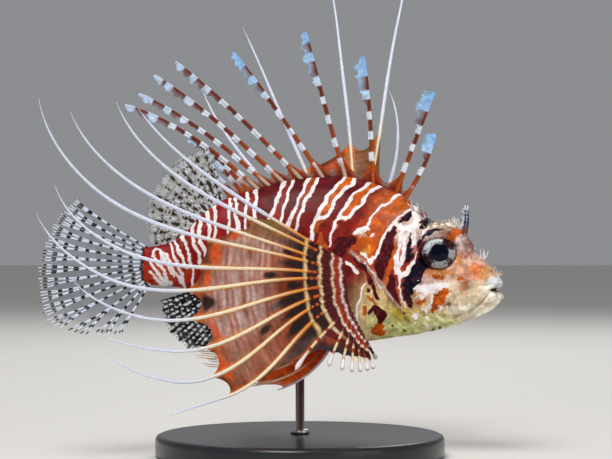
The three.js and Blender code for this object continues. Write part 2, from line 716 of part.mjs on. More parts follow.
// Skin flaps and small spines of the head: place and depth of the root, length, rises at root
// and tip, lean away from the side, half width, half thickness and number of steps
const HEAD_FLAPS = [
  // Horn over the eye and the small points of the brow
  {
    x: 58.2, z: 78.8, sink: 0.8, size: 11.5, start: 106, end: 84,
    lean: 8, half: 0.9, thick: 0.6, steps: 4,
  },
  { x: 54.5, z: 82, sink: 0.8, size: 3.6, start: 96, end: 60, lean: 20, half: 0.7, thick: 0.5 },
  { x: 50.5, z: 82.2, sink: 0.8, size: 3.2, start: 96, end: 60, lean: 20, half: 0.7, thick: 0.5 },
  { x: 46.5, z: 81, sink: 0.8, size: 3, start: 96, end: 60, lean: 20, half: 0.7, thick: 0.5 },
  // Spines of the ridge under the eye, the nape and the cheek
  { x: 54, z: 65.4, sink: 0.6, size: 2.6, start: -4, end: 0, lean: 42, half: 0.6, thick: 0.5 },
  { x: 46, z: 63.6, sink: 0.6, size: 2.6, start: -4, end: 0, lean: 42, half: 0.6, thick: 0.5 },
  { x: 41.5, z: 88, sink: 1, size: 4.6, start: 70, end: 50, lean: 24, half: 0.8, thick: 0.6 },
  { x: 44.5, z: 86, sink: 1, size: 4.6, start: 70, end: 50, lean: 24, half: 0.8, thick: 0.6 },
  { x: 45, z: 58, sink: 0.6, size: 3.2, start: -20, end: -20, lean: 55, half: 0.7, thick: 0.5 },
  { x: 46.2, z: 54, sink: 0.6, size: 3.2, start: -40, end: -40, lean: 55, half: 0.7, thick: 0.5 },
  { x: 47.4, z: 51, sink: 0.6, size: 3.2, start: -60, end: -60, lean: 55, half: 0.7, thick: 0.5 },
  // Skin flaps of the cheek, the nose and the snout's tip
  { x: 53, z: 54.4, sink: 0.6, size: 3.4, start: -30, end: 0, lean: 40, half: 0.8, thick: 0.4 },
  {
    x: 64, z: 70.4, sink: 0.8, size: 5.6, start: 140, end: 80,
    lean: 16, half: 0.6, thick: 0.4, steps: 3,
  },
  { x: 69.2, z: 65, sink: 0.6, size: 3.6, start: 140, end: 110, lean: 16, half: 0.5, thick: 0.4 },
];
const JAW_FLAP = {
  x: 56, z: 48.6, sink: 0.6, size: 2.6, start: -80, end: -60, lean: 20, half: 0.5, thick: 0.4,
};

const covers = body.intersect(headPrism).intersect(sideCut(COVER)).subtract(bodyLoft(-COVER_DEPTH));
const coverRoom = sideCut(grownOutline(COVER, GAP)).subtract(bodyLoft(-COVER_DEPTH - GAP));
for (const cover of covers.decompose())
  if (cover.volume() > SCRAP_VOLUME) {
    const box = cover.boundingBox();
    const onRight = (box.min[1] + box.max[1]) / 2 < midline(box.min[0]);
    group.add(toMesh(onRight ? "gill_cover_right" : "gill_cover_left", cover, materials.head));
  }

let head = body.intersect(headPrism);
let jaw = body.intersect(jawPrism);
const eyeRooms = [];
for (const side of [-1, 1]) {
  const turn = heading(EYE_X);
  const centre = eyeCentre(side);
  head = head.add(ellipsoid(centre, RIM_SIZE, turn, EYE_SIDES));
  const roomSize = [EYE_RADIUS + GAP, EYE_DEPTH + GAP, EYE_RADIUS + GAP];
  eyeRooms.push(ellipsoid(centre, roomSize, turn, EYE_SIDES));
  const eye = ellipsoid(centre, [EYE_RADIUS, EYE_DEPTH, EYE_RADIUS], turn, EYE_SIDES);
  group.add(toMesh(side < 0 ? "eye_right" : "eye_left", eye, materials.eye));

  head = head.add(skinBar(side, BROW_LINE, 1.1, 0.2));
  head = head.add(skinBar(side, CHEEK_RIDGE, 0.8, 0.3));
  for (const shape of HEAD_FLAPS) head = head.add(flap(side, shape));
  jaw = jaw.add(flap(side, JAW_FLAP));
}
head = head.add(lip(UPPER_LIP_LINE, 1.4, 71.4, 1));
jaw = jaw.add(lip(LOWER_LIP_LINE, -1.1, 71.2, 0.9));
head = head.subtract(jawPrismGrown);
jaw = jaw.intersect(jawPrism);
head = head.subtract(coverRoom);
for (const side of [-1, 1]) {
  for (const [x, z] of NOSTRILS)
    head = head.subtract(ellipsoid(onFlank(x, z, side), NOSTRIL_SIZE, 0, 6));
  head = head.subtract(eyeRooms[side < 0 ? 0 : 1]);
}
group.add(toMesh("head", head, materials.head));
group.add(toMesh("lower_jaw", jaw, materials.jaw));

const behind = body.subtract(headPrismGrown);
const lengths = {
  trunk_front: slab(TRUNK_SPLIT_X + GAP / 2, PAST_HEAD_X),
  trunk_rear: slab(STEM_SPLIT_X + GAP / 2, TRUNK_SPLIT_X - GAP / 2),
  tail_stem: slab(PAST_TAIL_X, STEM_SPLIT_X - GAP / 2),
};
for (const [name, block] of Object.entries(lengths))
  group.add(toMesh(name, behind.intersect(block), materials.body));

function addFin(name, made, material) {
  group.add(toMesh(name, made.subtract(clearance), material));
}

addFin("pectoral_fin_right", pectoralFin(RIGHT_POSE), materials.pectoral);
addFin("pectoral_fin_left", pectoralFin(LEFT_POSE), materials.pectoral);
addFin("dorsal_fin_spiny", spinyDorsal(), materials.spine);

const softDorsal = medianFan({
  count: 11,
  feet: [-27.4, -31, -35.5, -40],
  heights: [90.2, 87.6, 83.6, 79],
  lengths: [22, 24, 21, 14],
  starts: [78, 52, 24, -14],
  turns: [-8, -4, -8, -20],
  spreads: [6, 5, 2, -2],
  rows: 5,
});
addFin("dorsal_fin_soft", softDorsal, materials.clear);

const anal = medianFan({
  count: 9,
  feet: [-21, -27, -33, -38],
  heights: [50.5, 52.5, 56.5, 60],
  lengths: [15, 20, 19, 13],
  starts: [-66, -52, -38, -20],
  turns: [10, 6, 2, 6],
  spreads: [-2, 0, 4, 8],
  rows: 5,
});
addFin("anal_fin", anal, materials.clear);

const caudal = medianFan({
  count: 13,
  feet: [-53, -54, -54, -54, -53],
  heights: [74.2, 71.4, 68.4, 65.4, 63],
  lengths: [34, 38, 42, 44, 24],
  starts: [30, 12, -6, -26, -60],
  turns: [12, 10, 2, 4, -4],
  spreads: [16, 20, 24, 28, 30],
  rows: 6,
});
addFin("caudal_fin", caudal, materials.clear);

// Pelvic fins: one spine and five rays, swept back under the belly
const PELVIC_X = 12.5;
const PELVIC_STEP = 0.9;
const PELVIC_Z = 43.2;
const PELVIC_SPREAD = 16;
const PELVIC_LENGTH = [30, 40, 45, 47, 48, 46];
const PELVIC_START = [-70, -58, -44, -32, -22, -12];
const PELVIC_TURN = [56, 62, 52, 40, 28, 16];
for (const side of [-1, 1]) {
  const rays = PELVIC_LENGTH.map((length, i) => {
    const ray = makeRay({
      root: onFlank(PELVIC_X - PELVIC_STEP * i, PELVIC_Z, side, ROOT_SINK),
      length,
      start: PELVIC_START[i],
      end: PELVIC_START[i] + PELVIC_TURN[i],
      late: 1,
      spread: PELVIC_SPREAD - i,
      side,
    });
    ray.web = i === 0 ? 0.94 : 0.86;
    return ray;
  });
  const fin = finSheet(rays, {
    rows: 5,
    scallop: 0.1,
    rayHalf: (s) => mix(0.7, 0.3, s),
    rayThick: (s) => mix(0.7, 0.34, s),
    freeSteps: 3,
  });
  addFin(side < 0 ? "pelvic_fin_right" : "pelvic_fin_left", fin, materials.pelvic);
}

// Stand: a flat round base, and one rod up to the belly between the pelvic fins
const profile = [
  [0, 0],
  [BASE_RADIUS - BASE_EDGE, 0],
  [BASE_RADIUS, BASE_EDGE],
  [BASE_RADIUS, BASE_HEIGHT - BASE_EDGE],
  [BASE_RADIUS - BASE_EDGE, BASE_HEIGHT],
  [0, BASE_HEIGHT],
];
const turned = profile.map(([r, z]) => new THREE.Vector2(r, z));
const baseGeometry = new THREE.LatheGeometry(turned, BASE_SIDES);
baseGeometry.rotateX(Math.PI / 2);
group.add(toMesh("stand_base", toSolid(baseGeometry), materials.base));

const rodFoot = BASE_HEIGHT + GAP;
// The rod's top is cut to the curve of the belly
const rodTop = sectionAtX(ROD_X).belly + 4;
const rodGeometry = new THREE.CylinderGeometry(ROD_RADIUS, ROD_RADIUS, rodTop - rodFoot, ROD_SIDES);
rodGeometry.rotateX(Math.PI / 2);
rodGeometry.translate(ROD_X, 0, (rodTop + rodFoot) / 2);
addFin("stand_rod", toSolid(rodGeometry), materials.rod);

export default group;
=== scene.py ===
import math

import bmesh
import bpy
import numpy as np
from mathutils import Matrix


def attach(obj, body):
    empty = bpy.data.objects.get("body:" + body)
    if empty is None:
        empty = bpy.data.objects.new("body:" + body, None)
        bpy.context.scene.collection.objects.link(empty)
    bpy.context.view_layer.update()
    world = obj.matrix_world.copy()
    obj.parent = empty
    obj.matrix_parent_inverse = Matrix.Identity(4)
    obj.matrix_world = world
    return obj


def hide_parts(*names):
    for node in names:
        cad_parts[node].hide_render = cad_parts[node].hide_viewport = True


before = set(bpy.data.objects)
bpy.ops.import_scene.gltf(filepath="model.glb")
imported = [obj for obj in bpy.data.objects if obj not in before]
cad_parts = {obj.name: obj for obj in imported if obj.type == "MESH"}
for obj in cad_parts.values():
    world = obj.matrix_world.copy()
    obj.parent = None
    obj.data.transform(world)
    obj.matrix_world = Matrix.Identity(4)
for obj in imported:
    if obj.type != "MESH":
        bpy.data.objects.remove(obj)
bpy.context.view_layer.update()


# Stand base: a turned disc of dense board under satin black lacquer. It carries the rod in a
# shallow socket and stands flat on its underside. All sizes are in millimetres.
MM = 0.001
BASE_RADIUS, BASE_HEIGHT, FOOT_BEVEL, SOCKET_RADIUS = 52, 8, 1.2, 5
BASE_PROFILE = [(0, 0), (BASE_RADIUS - FOOT_BEVEL, 0), (BASE_RADIUS, FOOT_BEVEL),
                (BASE_RADIUS, BASE_HEIGHT - 1.8), (BASE_RADIUS - 0.5, BASE_HEIGHT - 0.6),
                (BASE_RADIUS - 1.8, BASE_HEIGHT), (SOCKET_RADIUS, BASE_HEIGHT), (0, BASE_HEIGHT)]
BASE_SIDES = 160


def srgb(text):
    """A hex colour as linear red, green, blue."""
    values = [int(text[i:i + 2], 16) / 255 for i in (1, 3, 5)]
    return np.array([v / 12.92 if v <= 0.04045 else ((v + 0.055) / 1.055) ** 2.4 for v in values])


def rgba(text):
    """A hex colour for a colour socket."""
    return (*srgb(text), 1.0)


def add(tree, kind, inputs=None, **settings):
    """One node with its settings, and its inputs set or linked."""
    made = tree.nodes.new(kind)
    for name, value in settings.items():
        setattr(made, name, value)
    for name, value in (inputs or {}).items():
        if isinstance(value, bpy.types.NodeSocket):
            tree.links.new(value, made.inputs[name])
        else:
            made.inputs[name].default_value = value
    return made


def object_place(tree):
    """Places on the piece itself, in metres."""
    return add(tree, "ShaderNodeTexCoord").outputs["Object"]


def noise(tree, place, cell_mm, detail, distortion=0.0):
    """Irregular grain whose cells are about cell_mm wide."""
    made = add(tree, "ShaderNodeTexNoise", {"Vector": place, "Scale": 1 / (cell_mm * MM), "Detail": detail,
                                            "Distortion": distortion})
    return made.outputs["Fac"]


def blend(tree, share, first, second, mode="MIX"):
    """Two colours mixed by a share."""
    made = add(tree, "ShaderNodeMix", {0: share, 6: first, 7: second}, data_type="RGBA", blend_type=mode)
    return made.outputs[2]


SOFT_SHEEN = 0.2


def finish(name, roughness, **shader_values):
    """A new material, its node tree and its surface shader."""
    material = bpy.data.materials.new(name)
    material.use_nodes = True
    shader = material.node_tree.nodes["Principled BSDF"]
    shader.inputs["Roughness"].default_value = roughness
    shader.inputs["Specular IOR Level"].default_value = SOFT_SHEEN
    for key, value in shader_values.items():
        shader.inputs[key.replace("_", " ").title().replace("Ior", "IOR")].default_value = value
    return material, material.node_tree, shader


def write_values(mesh, values):
    """Named values at a mesh's points, each a number or a colour."""
    for key, value in values.items():
        value = np.concatenate(value).astype(np.float32)
        if value.ndim == 1:
            mesh.attributes.new(key, "FLOAT", "POINT").data.foreach_set("value", value)
        else:
            colour = np.concatenate([value, np.ones((len(value), 1), np.float32)], 1)
            mesh.color_attributes.new(key, "FLOAT_COLOR", "POINT").data.foreach_set("color", colour.ravel())


def piece(name, parts, material):
    """One object from parts, each its points in millimetres, its faces and its named values."""
    points, faces, values, start = [], [], {}, 0
    for part_points, part_faces, part_values in parts:
        points.append(part_points)
        faces.extend([[i + start for i in face] for face in part_faces])
        start += len(part_points)
        for key, value in part_values.items():
            values.setdefault(key, []).append(value)
    mesh = bpy.data.meshes.new(name)
    mesh.from_pydata((np.concatenate(points) * MM).tolist(), [], faces)
    write_values(mesh, values)
    mesh.polygons.foreach_set("use_smooth", [True] * len(mesh.polygons))
    mesh.materials.append(material)
    made = bpy.data.objects.new(name, mesh)
    bpy.context.scene.collection.objects.link(made)
    return made


def lathe(profile, sides):
    """A closed turned body from a profile of (radius, height), which starts and ends on the axis."""
    rings = profile[1:-1]
    angles = np.arange(sides) * 2 * math.pi / sides
    points = [[0, 0, profile[0][1]]]
    for radius, height in rings:
        points += [[radius * math.cos(a), radius * math.sin(a), height] for a in angles]
    points.append([0, 0, profile[-1][1]])
    last, faces = len(points) - 1, []
    for k in range(sides):
        n = (k + 1) % sides
        faces.append([0, 1 + n, 1 + k])
        faces.append([last, last - sides + k, last - sides + n])
        for i in range(len(rings) - 1):
            a = 1 + i * sides
            faces.append([a + k, a + n, a + sides + n, a + sides + k])
    return np.array(points, float), faces, {}


lacquer, tree, shader = finish("satin_black_lacquer_on_board", 0.34, coat_weight=0.35, coat_roughness=0.18)
# Faint brushed-out cloudiness about 9 mm across, as in rubbed lacquer
cloud = noise(tree, object_place(tree), 9.09, 3)
tree.links.new(blend(tree, cloud, rgba("#1d1e21"), rgba("#2d2e32")), shader.inputs["Base Color"])
base = piece("stand_disc", [lathe(BASE_PROFILE, BASE_SIDES)], lacquer)
shading = base.modifiers.new("soft edges", "WEIGHTED_NORMAL")
shading.keep_sharp = True
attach(base, "root")
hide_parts("stand_base")


# Stand rod: ground stainless steel bar, 3.2 mm thick, pressed into a low turned collar on the
# base. It goes up between the pelvic fins into the belly.
ROD_RADIUS, ROD_TOP, ROD_SIDES = 1.6, 42.2, 48
COLLAR_RADIUS, COLLAR_FOOT, COLLAR_TOP = 3.4, BASE_HEIGHT + 0.05, 9.8
ROD_PROFILE = [(0, COLLAR_FOOT), (COLLAR_RADIUS, COLLAR_FOOT), (COLLAR_RADIUS, COLLAR_TOP - 0.6),
               (COLLAR_RADIUS - 0.5, COLLAR_TOP - 0.1), (ROD_RADIUS, COLLAR_TOP), (ROD_RADIUS, ROD_TOP),
               (0, ROD_TOP)]
steel, tree, shader = finish("ground_stainless_steel", 0.3, metallic=1.0)
# Fine grinding marks run round the bar
marks = add(tree, "ShaderNodeTexWave", {"Vector": object_place(tree), "Scale": 800, "Distortion": 2},
            bands_direction="Z").outputs["Fac"]
tree.links.new(blend(tree, marks, rgba("#b4b6b8"), rgba("#c9cbcc")), shader.inputs["Base Color"])
rod = piece("stand_bar", [lathe(ROD_PROFILE, ROD_SIDES)], steel)
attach(rod, "root")
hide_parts("stand_rod")


# Body: one painted resin skin from the tail stem to the lips, cast round the curved spine of the
# fish. The eye sockets, lips, gill covers, ridges and mouth line are modelled in its surface.
NECK_X, SNOUT_SWING, HEAD_LENGTH = 24, -13.5, 47
STEM_X, STEM_SWING, STEM_LENGTH = -14, -7.5, 41
# Place, back and belly heights, half width, height of the widest line, squareness above and below
SECTIONS = np.array([
    (-56, 75.0, 62.4, 1.4, 0.5, 2.0, 2.0),
    (-54, 75.4, 61.9, 2.4, 0.5, 2.0, 2.0),
    (-47, 76.6, 61.3, 3.4, 0.5, 2.0, 2.0),
    (-41, 80.5, 60.2, 4.3, 0.5, 1.9, 1.9),
    (-35, 87.0, 56.2, 5.6, 0.5, 1.8, 1.8),
    (-26, 93.0, 51.0, 7.8, 0.48, 1.8, 1.8),
    (-16, 96.0, 46.4, 9.8, 0.46, 1.8, 1.9),
    (-5, 99.0, 43.0, 11.6, 0.45, 1.8, 2.0),
    (6, 100.3, 41.2, 12.8, 0.45, 1.8, 2.0),
    (18, 100.3, 40.8, 13.6, 0.46, 1.8, 2.0),
    (28, 97.6, 41.8, 13.8, 0.46, 1.8, 2.0),
    (36, 94.4, 43.2, 13.2, 0.46, 1.9, 1.9),
    (42, 89.4, 44.0, 12.2, 0.46, 2.1, 1.8),
    (47, 84.6, 44.7, 11.2, 0.46, 2.5, 1.8),
    (53, 83.2, 46.4, 10.0, 0.44, 2.8, 1.8),
    (58, 79.6, 48.2, 8.8, 0.42, 2.4, 1.9),
    (62, 73.6, 49.8, 7.8, 0.42, 2.2, 2.0),
    (66, 69.8, 51.8, 6.6, 0.44, 2.2, 2.1),
    (69.4, 65.8, 54.6, 5.0, 0.5, 2.2, 2.2),
    (71.2, 63.3, 56.9, 2.9, 0.5, 2.2, 2.2),
])
TAIL_X, LIPS_X = SECTIONS[0, 0], SECTIONS[-1, 0]
TRUNK_STEP, HEAD_STEP, HEAD_FROM = 0.5, 0.22, 30
SKIN_SIDES = 252
NOSE_RINGS, NOSE_ROUND, NOSE_POINT = 9, 0.9, 0.08
EYE_X, EYE_Z, EYE_RADIUS, EYE_DEPTH, EYE_PROUD = 51.4, 73.5, 6.4, 4.2, 0.95


def midline(x):
    """How far the fish's middle lies to its left, as it turns its head and tail to the right."""
    snout = SNOUT_SWING * (np.maximum(x - NECK_X, 0) / HEAD_LENGTH) ** 1.4
    stem = STEM_SWING * (np.maximum(STEM_X - x, 0) / STEM_LENGTH) ** 1.6
    return snout + stem


def on_middle(x, z):
    """A place in the middle of the fish's width."""
    return np.array([x, float(midline(x)), z])


def heading(x):
    """The direction of the middle line."""
    return np.arctan2(midline(x + 0.5) - midline(x - 0.5), 1.0)


def smooth_sections():
    """The cross-sections at close steps between the named ones."""
    made = []
    last = len(SECTIONS) - 1
    t = np.linspace(0, 1, 40, endpoint=False)[:, None]
    rise = t * t * (3 - 2 * t)
    for i in range(last):
        a, b, c, d = SECTIONS[max(i - 1, 0)], SECTIONS[i], SECTIONS[i + 1], SECTIONS[min(i + 2, last)]
        bow = (c - a) / 2 * t * (1 - t) ** 2 - (d - b) / 2 * t * t * (1 - t)
        made.append(b + (c - b) * rise + bow)
    return np.concatenate([*made, SECTIONS[-1:]])


DENSE = smooth_sections()


def section(x):
    """Back, belly, half width, middle height, and squareness above and below at a station."""
    back, belly, half, waist, upper, lower = (np.interp(x, DENSE[:, 0], DENSE[:, k]) for k in range(1, 7))
    return back, belly, half, belly + (back - belly) * waist, upper, lower


def stroke(at, line):
    """Distance from each place to the edge of a painted stroke of (x, z, half width) points."""
    best = np.full(len(at), 1e3)
    for (x0, z0, r0), (x1, z1, r1) in zip(line, line[1:] or line):
        way = np.array([x1 - x0, z1 - z0])
        t = np.clip(((at - (x0, z0)) @ way) / max(way @ way, 1e-9), 0, 1)
        far = np.hypot(at[:, 0] - x0 - t * way[0], at[:, 1] - z0 - t * way[1])
        best = np.minimum(best, far - (r0 + t * (r1 - r0)))
    return best


def strokes(at, lines):
    """Distance to the nearest of several strokes."""
    return np.min([stroke(at, line) for line in lines], axis=0)


def even(line, half):
    """A line of (x, z) places as a stroke of one width."""
    return [(x, z, half) for x, z in line]


def ripple(at, size, seed, count=7):
    """A smooth irregular field, about -1 to 1, whose waves are about size long."""
    rng = np.random.default_rng(seed)
    ways = rng.normal(size=(count, at.shape[-1]))
    ways *= rng.uniform(0.7, 1.5, (count, 1)) / np.linalg.norm(ways, axis=1, keepdims=True)
    phases = rng.uniform(0, 2 * math.pi, count)
    return np.sin(at @ ways.T * 2 * math.pi / size + phases).sum(-1) / math.sqrt(count)


def soft(value, low, high):
    """0 below low, 1 above high and smooth between."""
    t = np.clip((value - low) / (high - low), 0, 1)
    return t * t * (3 - 2 * t)


def mixed(first, second, share):
    """Two hex colours, or two sets of colours or places, mixed by a share at each of them."""
    first = srgb(first) if isinstance(first, str) else first
    second = srgb(second) if isinstance(second, str) else second
    return first + (second - first) * np.asarray(share)[..., None]


stations = np.concatenate([np.arange(TAIL_X, HEAD_FROM, TRUNK_STEP),
                           np.arange(HEAD_FROM, LIPS_X, HEAD_STEP), [LIPS_X]])
nose = np.arange(1, NOSE_RINGS + 1) / (NOSE_RINGS + 1) * math.pi / 2
ring_x = np.concatenate([stations, LIPS_X + NOSE_ROUND * np.sin(nose)])
shrink = np.concatenate([np.ones(len(stations)), np.cos(nose)])[:, None]
angle = np.arange(SKIN_SIDES) * 2 * math.pi / SKIN_SIDES
side_share, up_share = np.sin(angle)[None, :], np.cos(angle)[None, :]
back, belly, half, middle, upper, lower = (v[:, None] for v in section(ring_x))
power = 2 / np.where(up_share >= 0, upper, lower)
reach = half * shrink * np.sign(side_share) * np.abs(side_share) ** power
height = np.where(up_share >= 0, back - middle, middle - belly) * shrink
skin_z = middle + height * np.sign(up_share) * np.abs(up_share) ** power
turn = heading(ring_x)[:, None]
skin_x = np.repeat(ring_x[:, None], SKIN_SIDES, 1)
skin_y = midline(ring_x)[:, None] + reach * np.cos(turn)
skin = np.stack([skin_x - reach * np.sin(turn), skin_y, skin_z], 2)
around = np.roll(skin, -1, 1) - np.roll(skin, 1, 1)
outward = np.cross(np.gradient(skin, axis=0), around)
outward /= np.linalg.norm(outward, axis=2, keepdims=True) + 1e-12
at = np.stack([skin_x.ravel(), skin_z.ravel()], 1)
across = reach.ravel()
x_of, z_of = at.T

# Forms of the head and gill covers, each raised or sunk by a depth that fades with distance
MOUTH = [(71.9, 60.3), (70.6, 60.3), (68.7, 59.4), (65.8, 55.5), (61.7, 52.5), (55.6, 50.6), (50.4, 51.2)]
BROW = [(60, 75.6), (57.5, 80), (53, 82.4), (48, 81.4), (44, 79)]
CHEEK_RIDGE = [(64, 66.5), (58, 66), (51, 65), (47, 64), (43.4, 63)]
MAXILLA_END = [(56, 59.5), (51.8, 58.2), (49.9, 55), (50.6, 52)]
GILL_EDGE = [(21, 84), (17.8, 79), (17.4, 73.4), (22, 70.1), (27.9, 65.6), (33, 59.4), (37.9, 53.1),
             (42, 47.5), (47, 45)]
PREOPERCLE = [(43, 72), (42.6, 64), (44.4, 57), (47.8, 51.4), (53, 48.6)]
OPERCLE_RAYS = [[(41, 74), (31, 77), (23, 79)], [(41, 72), (31, 70), (24, 69)]]
THROAT_FOLDS = [[(36 + 3.4 * k, 50 - 0.4 * k), (40 + 3.2 * k, 45.5), (46 + 2.6 * k, 44)] for k in range(4)]
NOSTRILS = [(63.2, 69.2), (60.8, 71.8)]
NAPE_RIDGE = [(34, 91), (40, 87.4), (45, 84)]


def ridge(line, raised, width):
    """A rounded ridge along a line."""
    return raised * np.exp(-(np.maximum(stroke(at, even(line, 0)), 0) / width) ** 2)


mouth_x = [x for x, z in MOUTH][::-1]
mouth_side = np.sign(z_of - np.interp(x_of, mouth_x, [z for x, z in MOUTH][::-1]))
from_mouth = stroke(at, even(MOUTH, 0))
mouth_fade = soft(x_of, 49.5, 53)
lift = -1.25 * np.exp(-(from_mouth / 0.34) ** 2) * mouth_fade * (1 - soft(x_of, 67.8, 69))
lip_rise = 0.65 + 0.35 * soft(x_of, 66.5, 69.5) - 0.6 * soft(x_of, 70.2, 71.6)
lip_rise *= np.where(mouth_side > 0, 1, 0.9)
lift += lip_rise * np.exp(-((from_mouth - 1.3) / 0.8) ** 2) * mouth_fade
lift += ridge(BROW, 0.8, 1.3) + ridge(CHEEK_RIDGE, 0.6, 0.9) + ridge(NAPE_RIDGE, 0.45, 1.0)
lift += ridge(PREOPERCLE, 0.4, 1.1) - ridge([(x - 1.7, z - 0.4) for x, z in PREOPERCLE], 0.35, 0.8)
lift -= ridge(MAXILLA_END, 0.55, 0.42)
lift += sum(ridge(line, 0.28, 0.9) for line in OPERCLE_RAYS)
lift -= sum(ridge(line, 0.22, 0.6) for line in THROAT_FOLDS)
gill_far = stroke(at, even(GILL_EDGE, 0))
edge_z = [z for x, z in GILL_EDGE][::-1]
ahead = x_of > np.interp(z_of, edge_z, [x for x, z in GILL_EDGE][::-1])
gill_fade = soft(z_of, 42, 46) * soft(86 - z_of, 0, 4)
cover_side = soft(np.where(ahead, gill_far, -gill_far), -0.45, 0.3)
lift += gill_fade * (cover_side * 0.35 * np.exp(-(gill_far / 1.8) ** 2)
                     - (1 - cover_side) * 0.9 * np.exp(-(gill_far / 1.6) ** 2))
from_eye = np.hypot(x_of - EYE_X, z_of - EYE_Z)
lift += 0.6 * np.exp(-((from_eye - EYE_RADIUS - 0.9) / 0.7) ** 2)
# The socket, and the brow that comes down over the top of the eye as a thick lid
lid_edge = EYE_Z + 3.9 - 0.045 * (x_of - EYE_X) ** 2
lidded = soft(z_of - lid_edge, -0.35, 0.45) * (1 - soft(from_eye, EYE_RADIUS + 0.6, EYE_RADIUS + 2.2))
lift -= 3.2 * (1 - soft(from_eye, EYE_RADIUS - 0.7, EYE_RADIUS + 0.4)) * (1 - lidded)
lid_ends = soft(np.abs(x_of - EYE_X), 3, 7.5)
lift += 2.3 * lidded * (1 - 0.65 * soft(z_of - lid_edge, 1.0, 4.2)) * (1 - 0.6 * lid_ends)
for x, z in NOSTRILS:
    far = np.hypot(x_of - x, z_of - z)
    lift += 0.4 * np.exp(-((far - 0.85) / 0.3) ** 2) - 0.8 * np.exp(-(far / 0.45) ** 2)
under = z_of < np.interp(x_of, [44, 58, 70], [46.5, 50.5, 57])
lift -= np.where(under, 0.5 * np.exp(-(across / 1.1) ** 2) * soft(x_of, 46, 50) * soft(68 - x_of, 0, 4), 0)
# Uneven skin, more so on the head
on_head = soft(x_of, 24, 44)
lift += on_head * 0.09 * ripple(skin.reshape(-1, 3), 2.6, 5) + 0.05 * ripple(skin.reshape(-1, 3), 6, 6)
skin = skin + outward * lift.reshape(skin_x.shape)[..., None]
# The mouth stands a little open at the front, drawn in towards a place inside the snout
GAPE_X, GAPE_Z = 66.8, 60.3
gape = 0.35 + 2.2 * soft(skin_x, 68.2, 71.4)
opened = np.clip(1 - np.abs(skin_z - GAPE_Z + 0.1) / gape, 0, 1) ** 0.85 * soft(skin_x, 67.8, 69.4)
skin = mixed(skin, on_middle(GAPE_X, GAPE_Z), 0.58 * opened)

# Markings: pale lines in pairs with an orange bar between, on dark red. Each is drawn on the side
# of the fish as (x, z) places, and both sides carry it.
PAIRS = [
    [[(-38.4, 84.9), (-38.9, 78.2), (-36.3, 69.8), (-34.4, 62)],
     [(-36.2, 86), (-36.5, 77.8), (-34, 70), (-32, 61)]],
    [[(-33.4, 88.6), (-33.4, 77.8), (-31, 69), (-28.4, 59)],
     [(-30.8, 91), (-30.9, 78.1), (-28.6, 68), (-25.4, 57)]],
    [[(-25.4, 92.6), (-26.6, 81.7), (-25.4, 70), (-21.5, 54)],
     [(-23.4, 93), (-23.2, 84.2), (-22.6, 72), (-18, 52)]],
    [[(-18.9, 94.6), (-20.2, 86.8), (-20, 74), (-15, 52)],
     [(-15.8, 96), (-16.8, 84.9), (-17, 72), (-12, 50)]],
    [[(-5.6, 99), (-8.2, 92), (-10.7, 84.6), (-12.6, 74), (-11, 60), (-7, 45)],
     [(-2.4, 99.6), (-5, 91.5), (-6.7, 84.9), (-9, 74), (-7.6, 60), (-3.4, 44)]],
    [[(3.2, 100), (-0.7, 92.1), (-4.2, 83.5), (-6, 74), (-4.6, 60), (0, 43)],
     [(6.6, 100.2), (1.4, 89.9), (-1.4, 81.7), (-2.6, 73), (-1, 59), (4, 42)]],
    [[(16.4, 100.6), (11.1, 95), (7.9, 89.9), (6.4, 85.7), (4.3, 82.4), (4.3, 77.5), (4.8, 66),
      (8, 50), (12, 42)],
     [(20.4, 100.2), (15.4, 95.3), (12.1, 91.3), (10.3, 87), (7.5, 85.3), (6.4, 85)]],
    [[(26.4, 99.6), (19.3, 93.9), (14.6, 88.1), (14.2, 85.6), (16, 85.3)],
     [(29.6, 97.8), (23.2, 92.8), (19.2, 88.1), (17.4, 85.6), (16, 85.3)]],
]
LONE_LINES = [
    [(14.6, 85.3), (12.4, 84.2), (11, 80), (10.4, 76)],
    [(38, 94.6), (31.3, 90.6), (27.3, 87), (25.7, 83.9), (20.6, 81.3), (19.2, 79.9)],
    [(42.6, 90.2), (36.3, 84.9), (34.2, 82.4), (31.7, 78.5), (30.7, 74.6), (26.9, 69.4)],
    [(-42.4, 80), (-42.1, 77.8), (-40.8, 73.2), (-39.4, 68.5), (-38.4, 62)],
    [(-44.9, 78.6), (-44.6, 77), (-43.6, 72.8), (-41.1, 67.8)],
    [(-47, 76.8), (-46.7, 75.9), (-45.3, 71.6), (-42.8, 65), (-41.7, 60)],
    [(-48.7, 72.8), (-47.1, 70.3), (-45.3, 66), (-42.7, 62.9)],
    [(-53.5, 71.8), (-53, 74), (-51.6, 74.7), (-50, 74.1), (-49.5, 71.6), (-47.8, 68.6), (-45.6, 64.6)],
    [(-52.2, 71.7), (-51.2, 70), (-49.5, 67.1), (-48.3, 63.5), (-46.1, 62.1)],
    [(-53.9, 70), (-52.3, 67.8), (-50.4, 64.6), (-47.7, 61.7)],
    [(-54.6, 67), (-52.6, 65.4), (-51, 63.1), (-48.4, 61.3)],
]
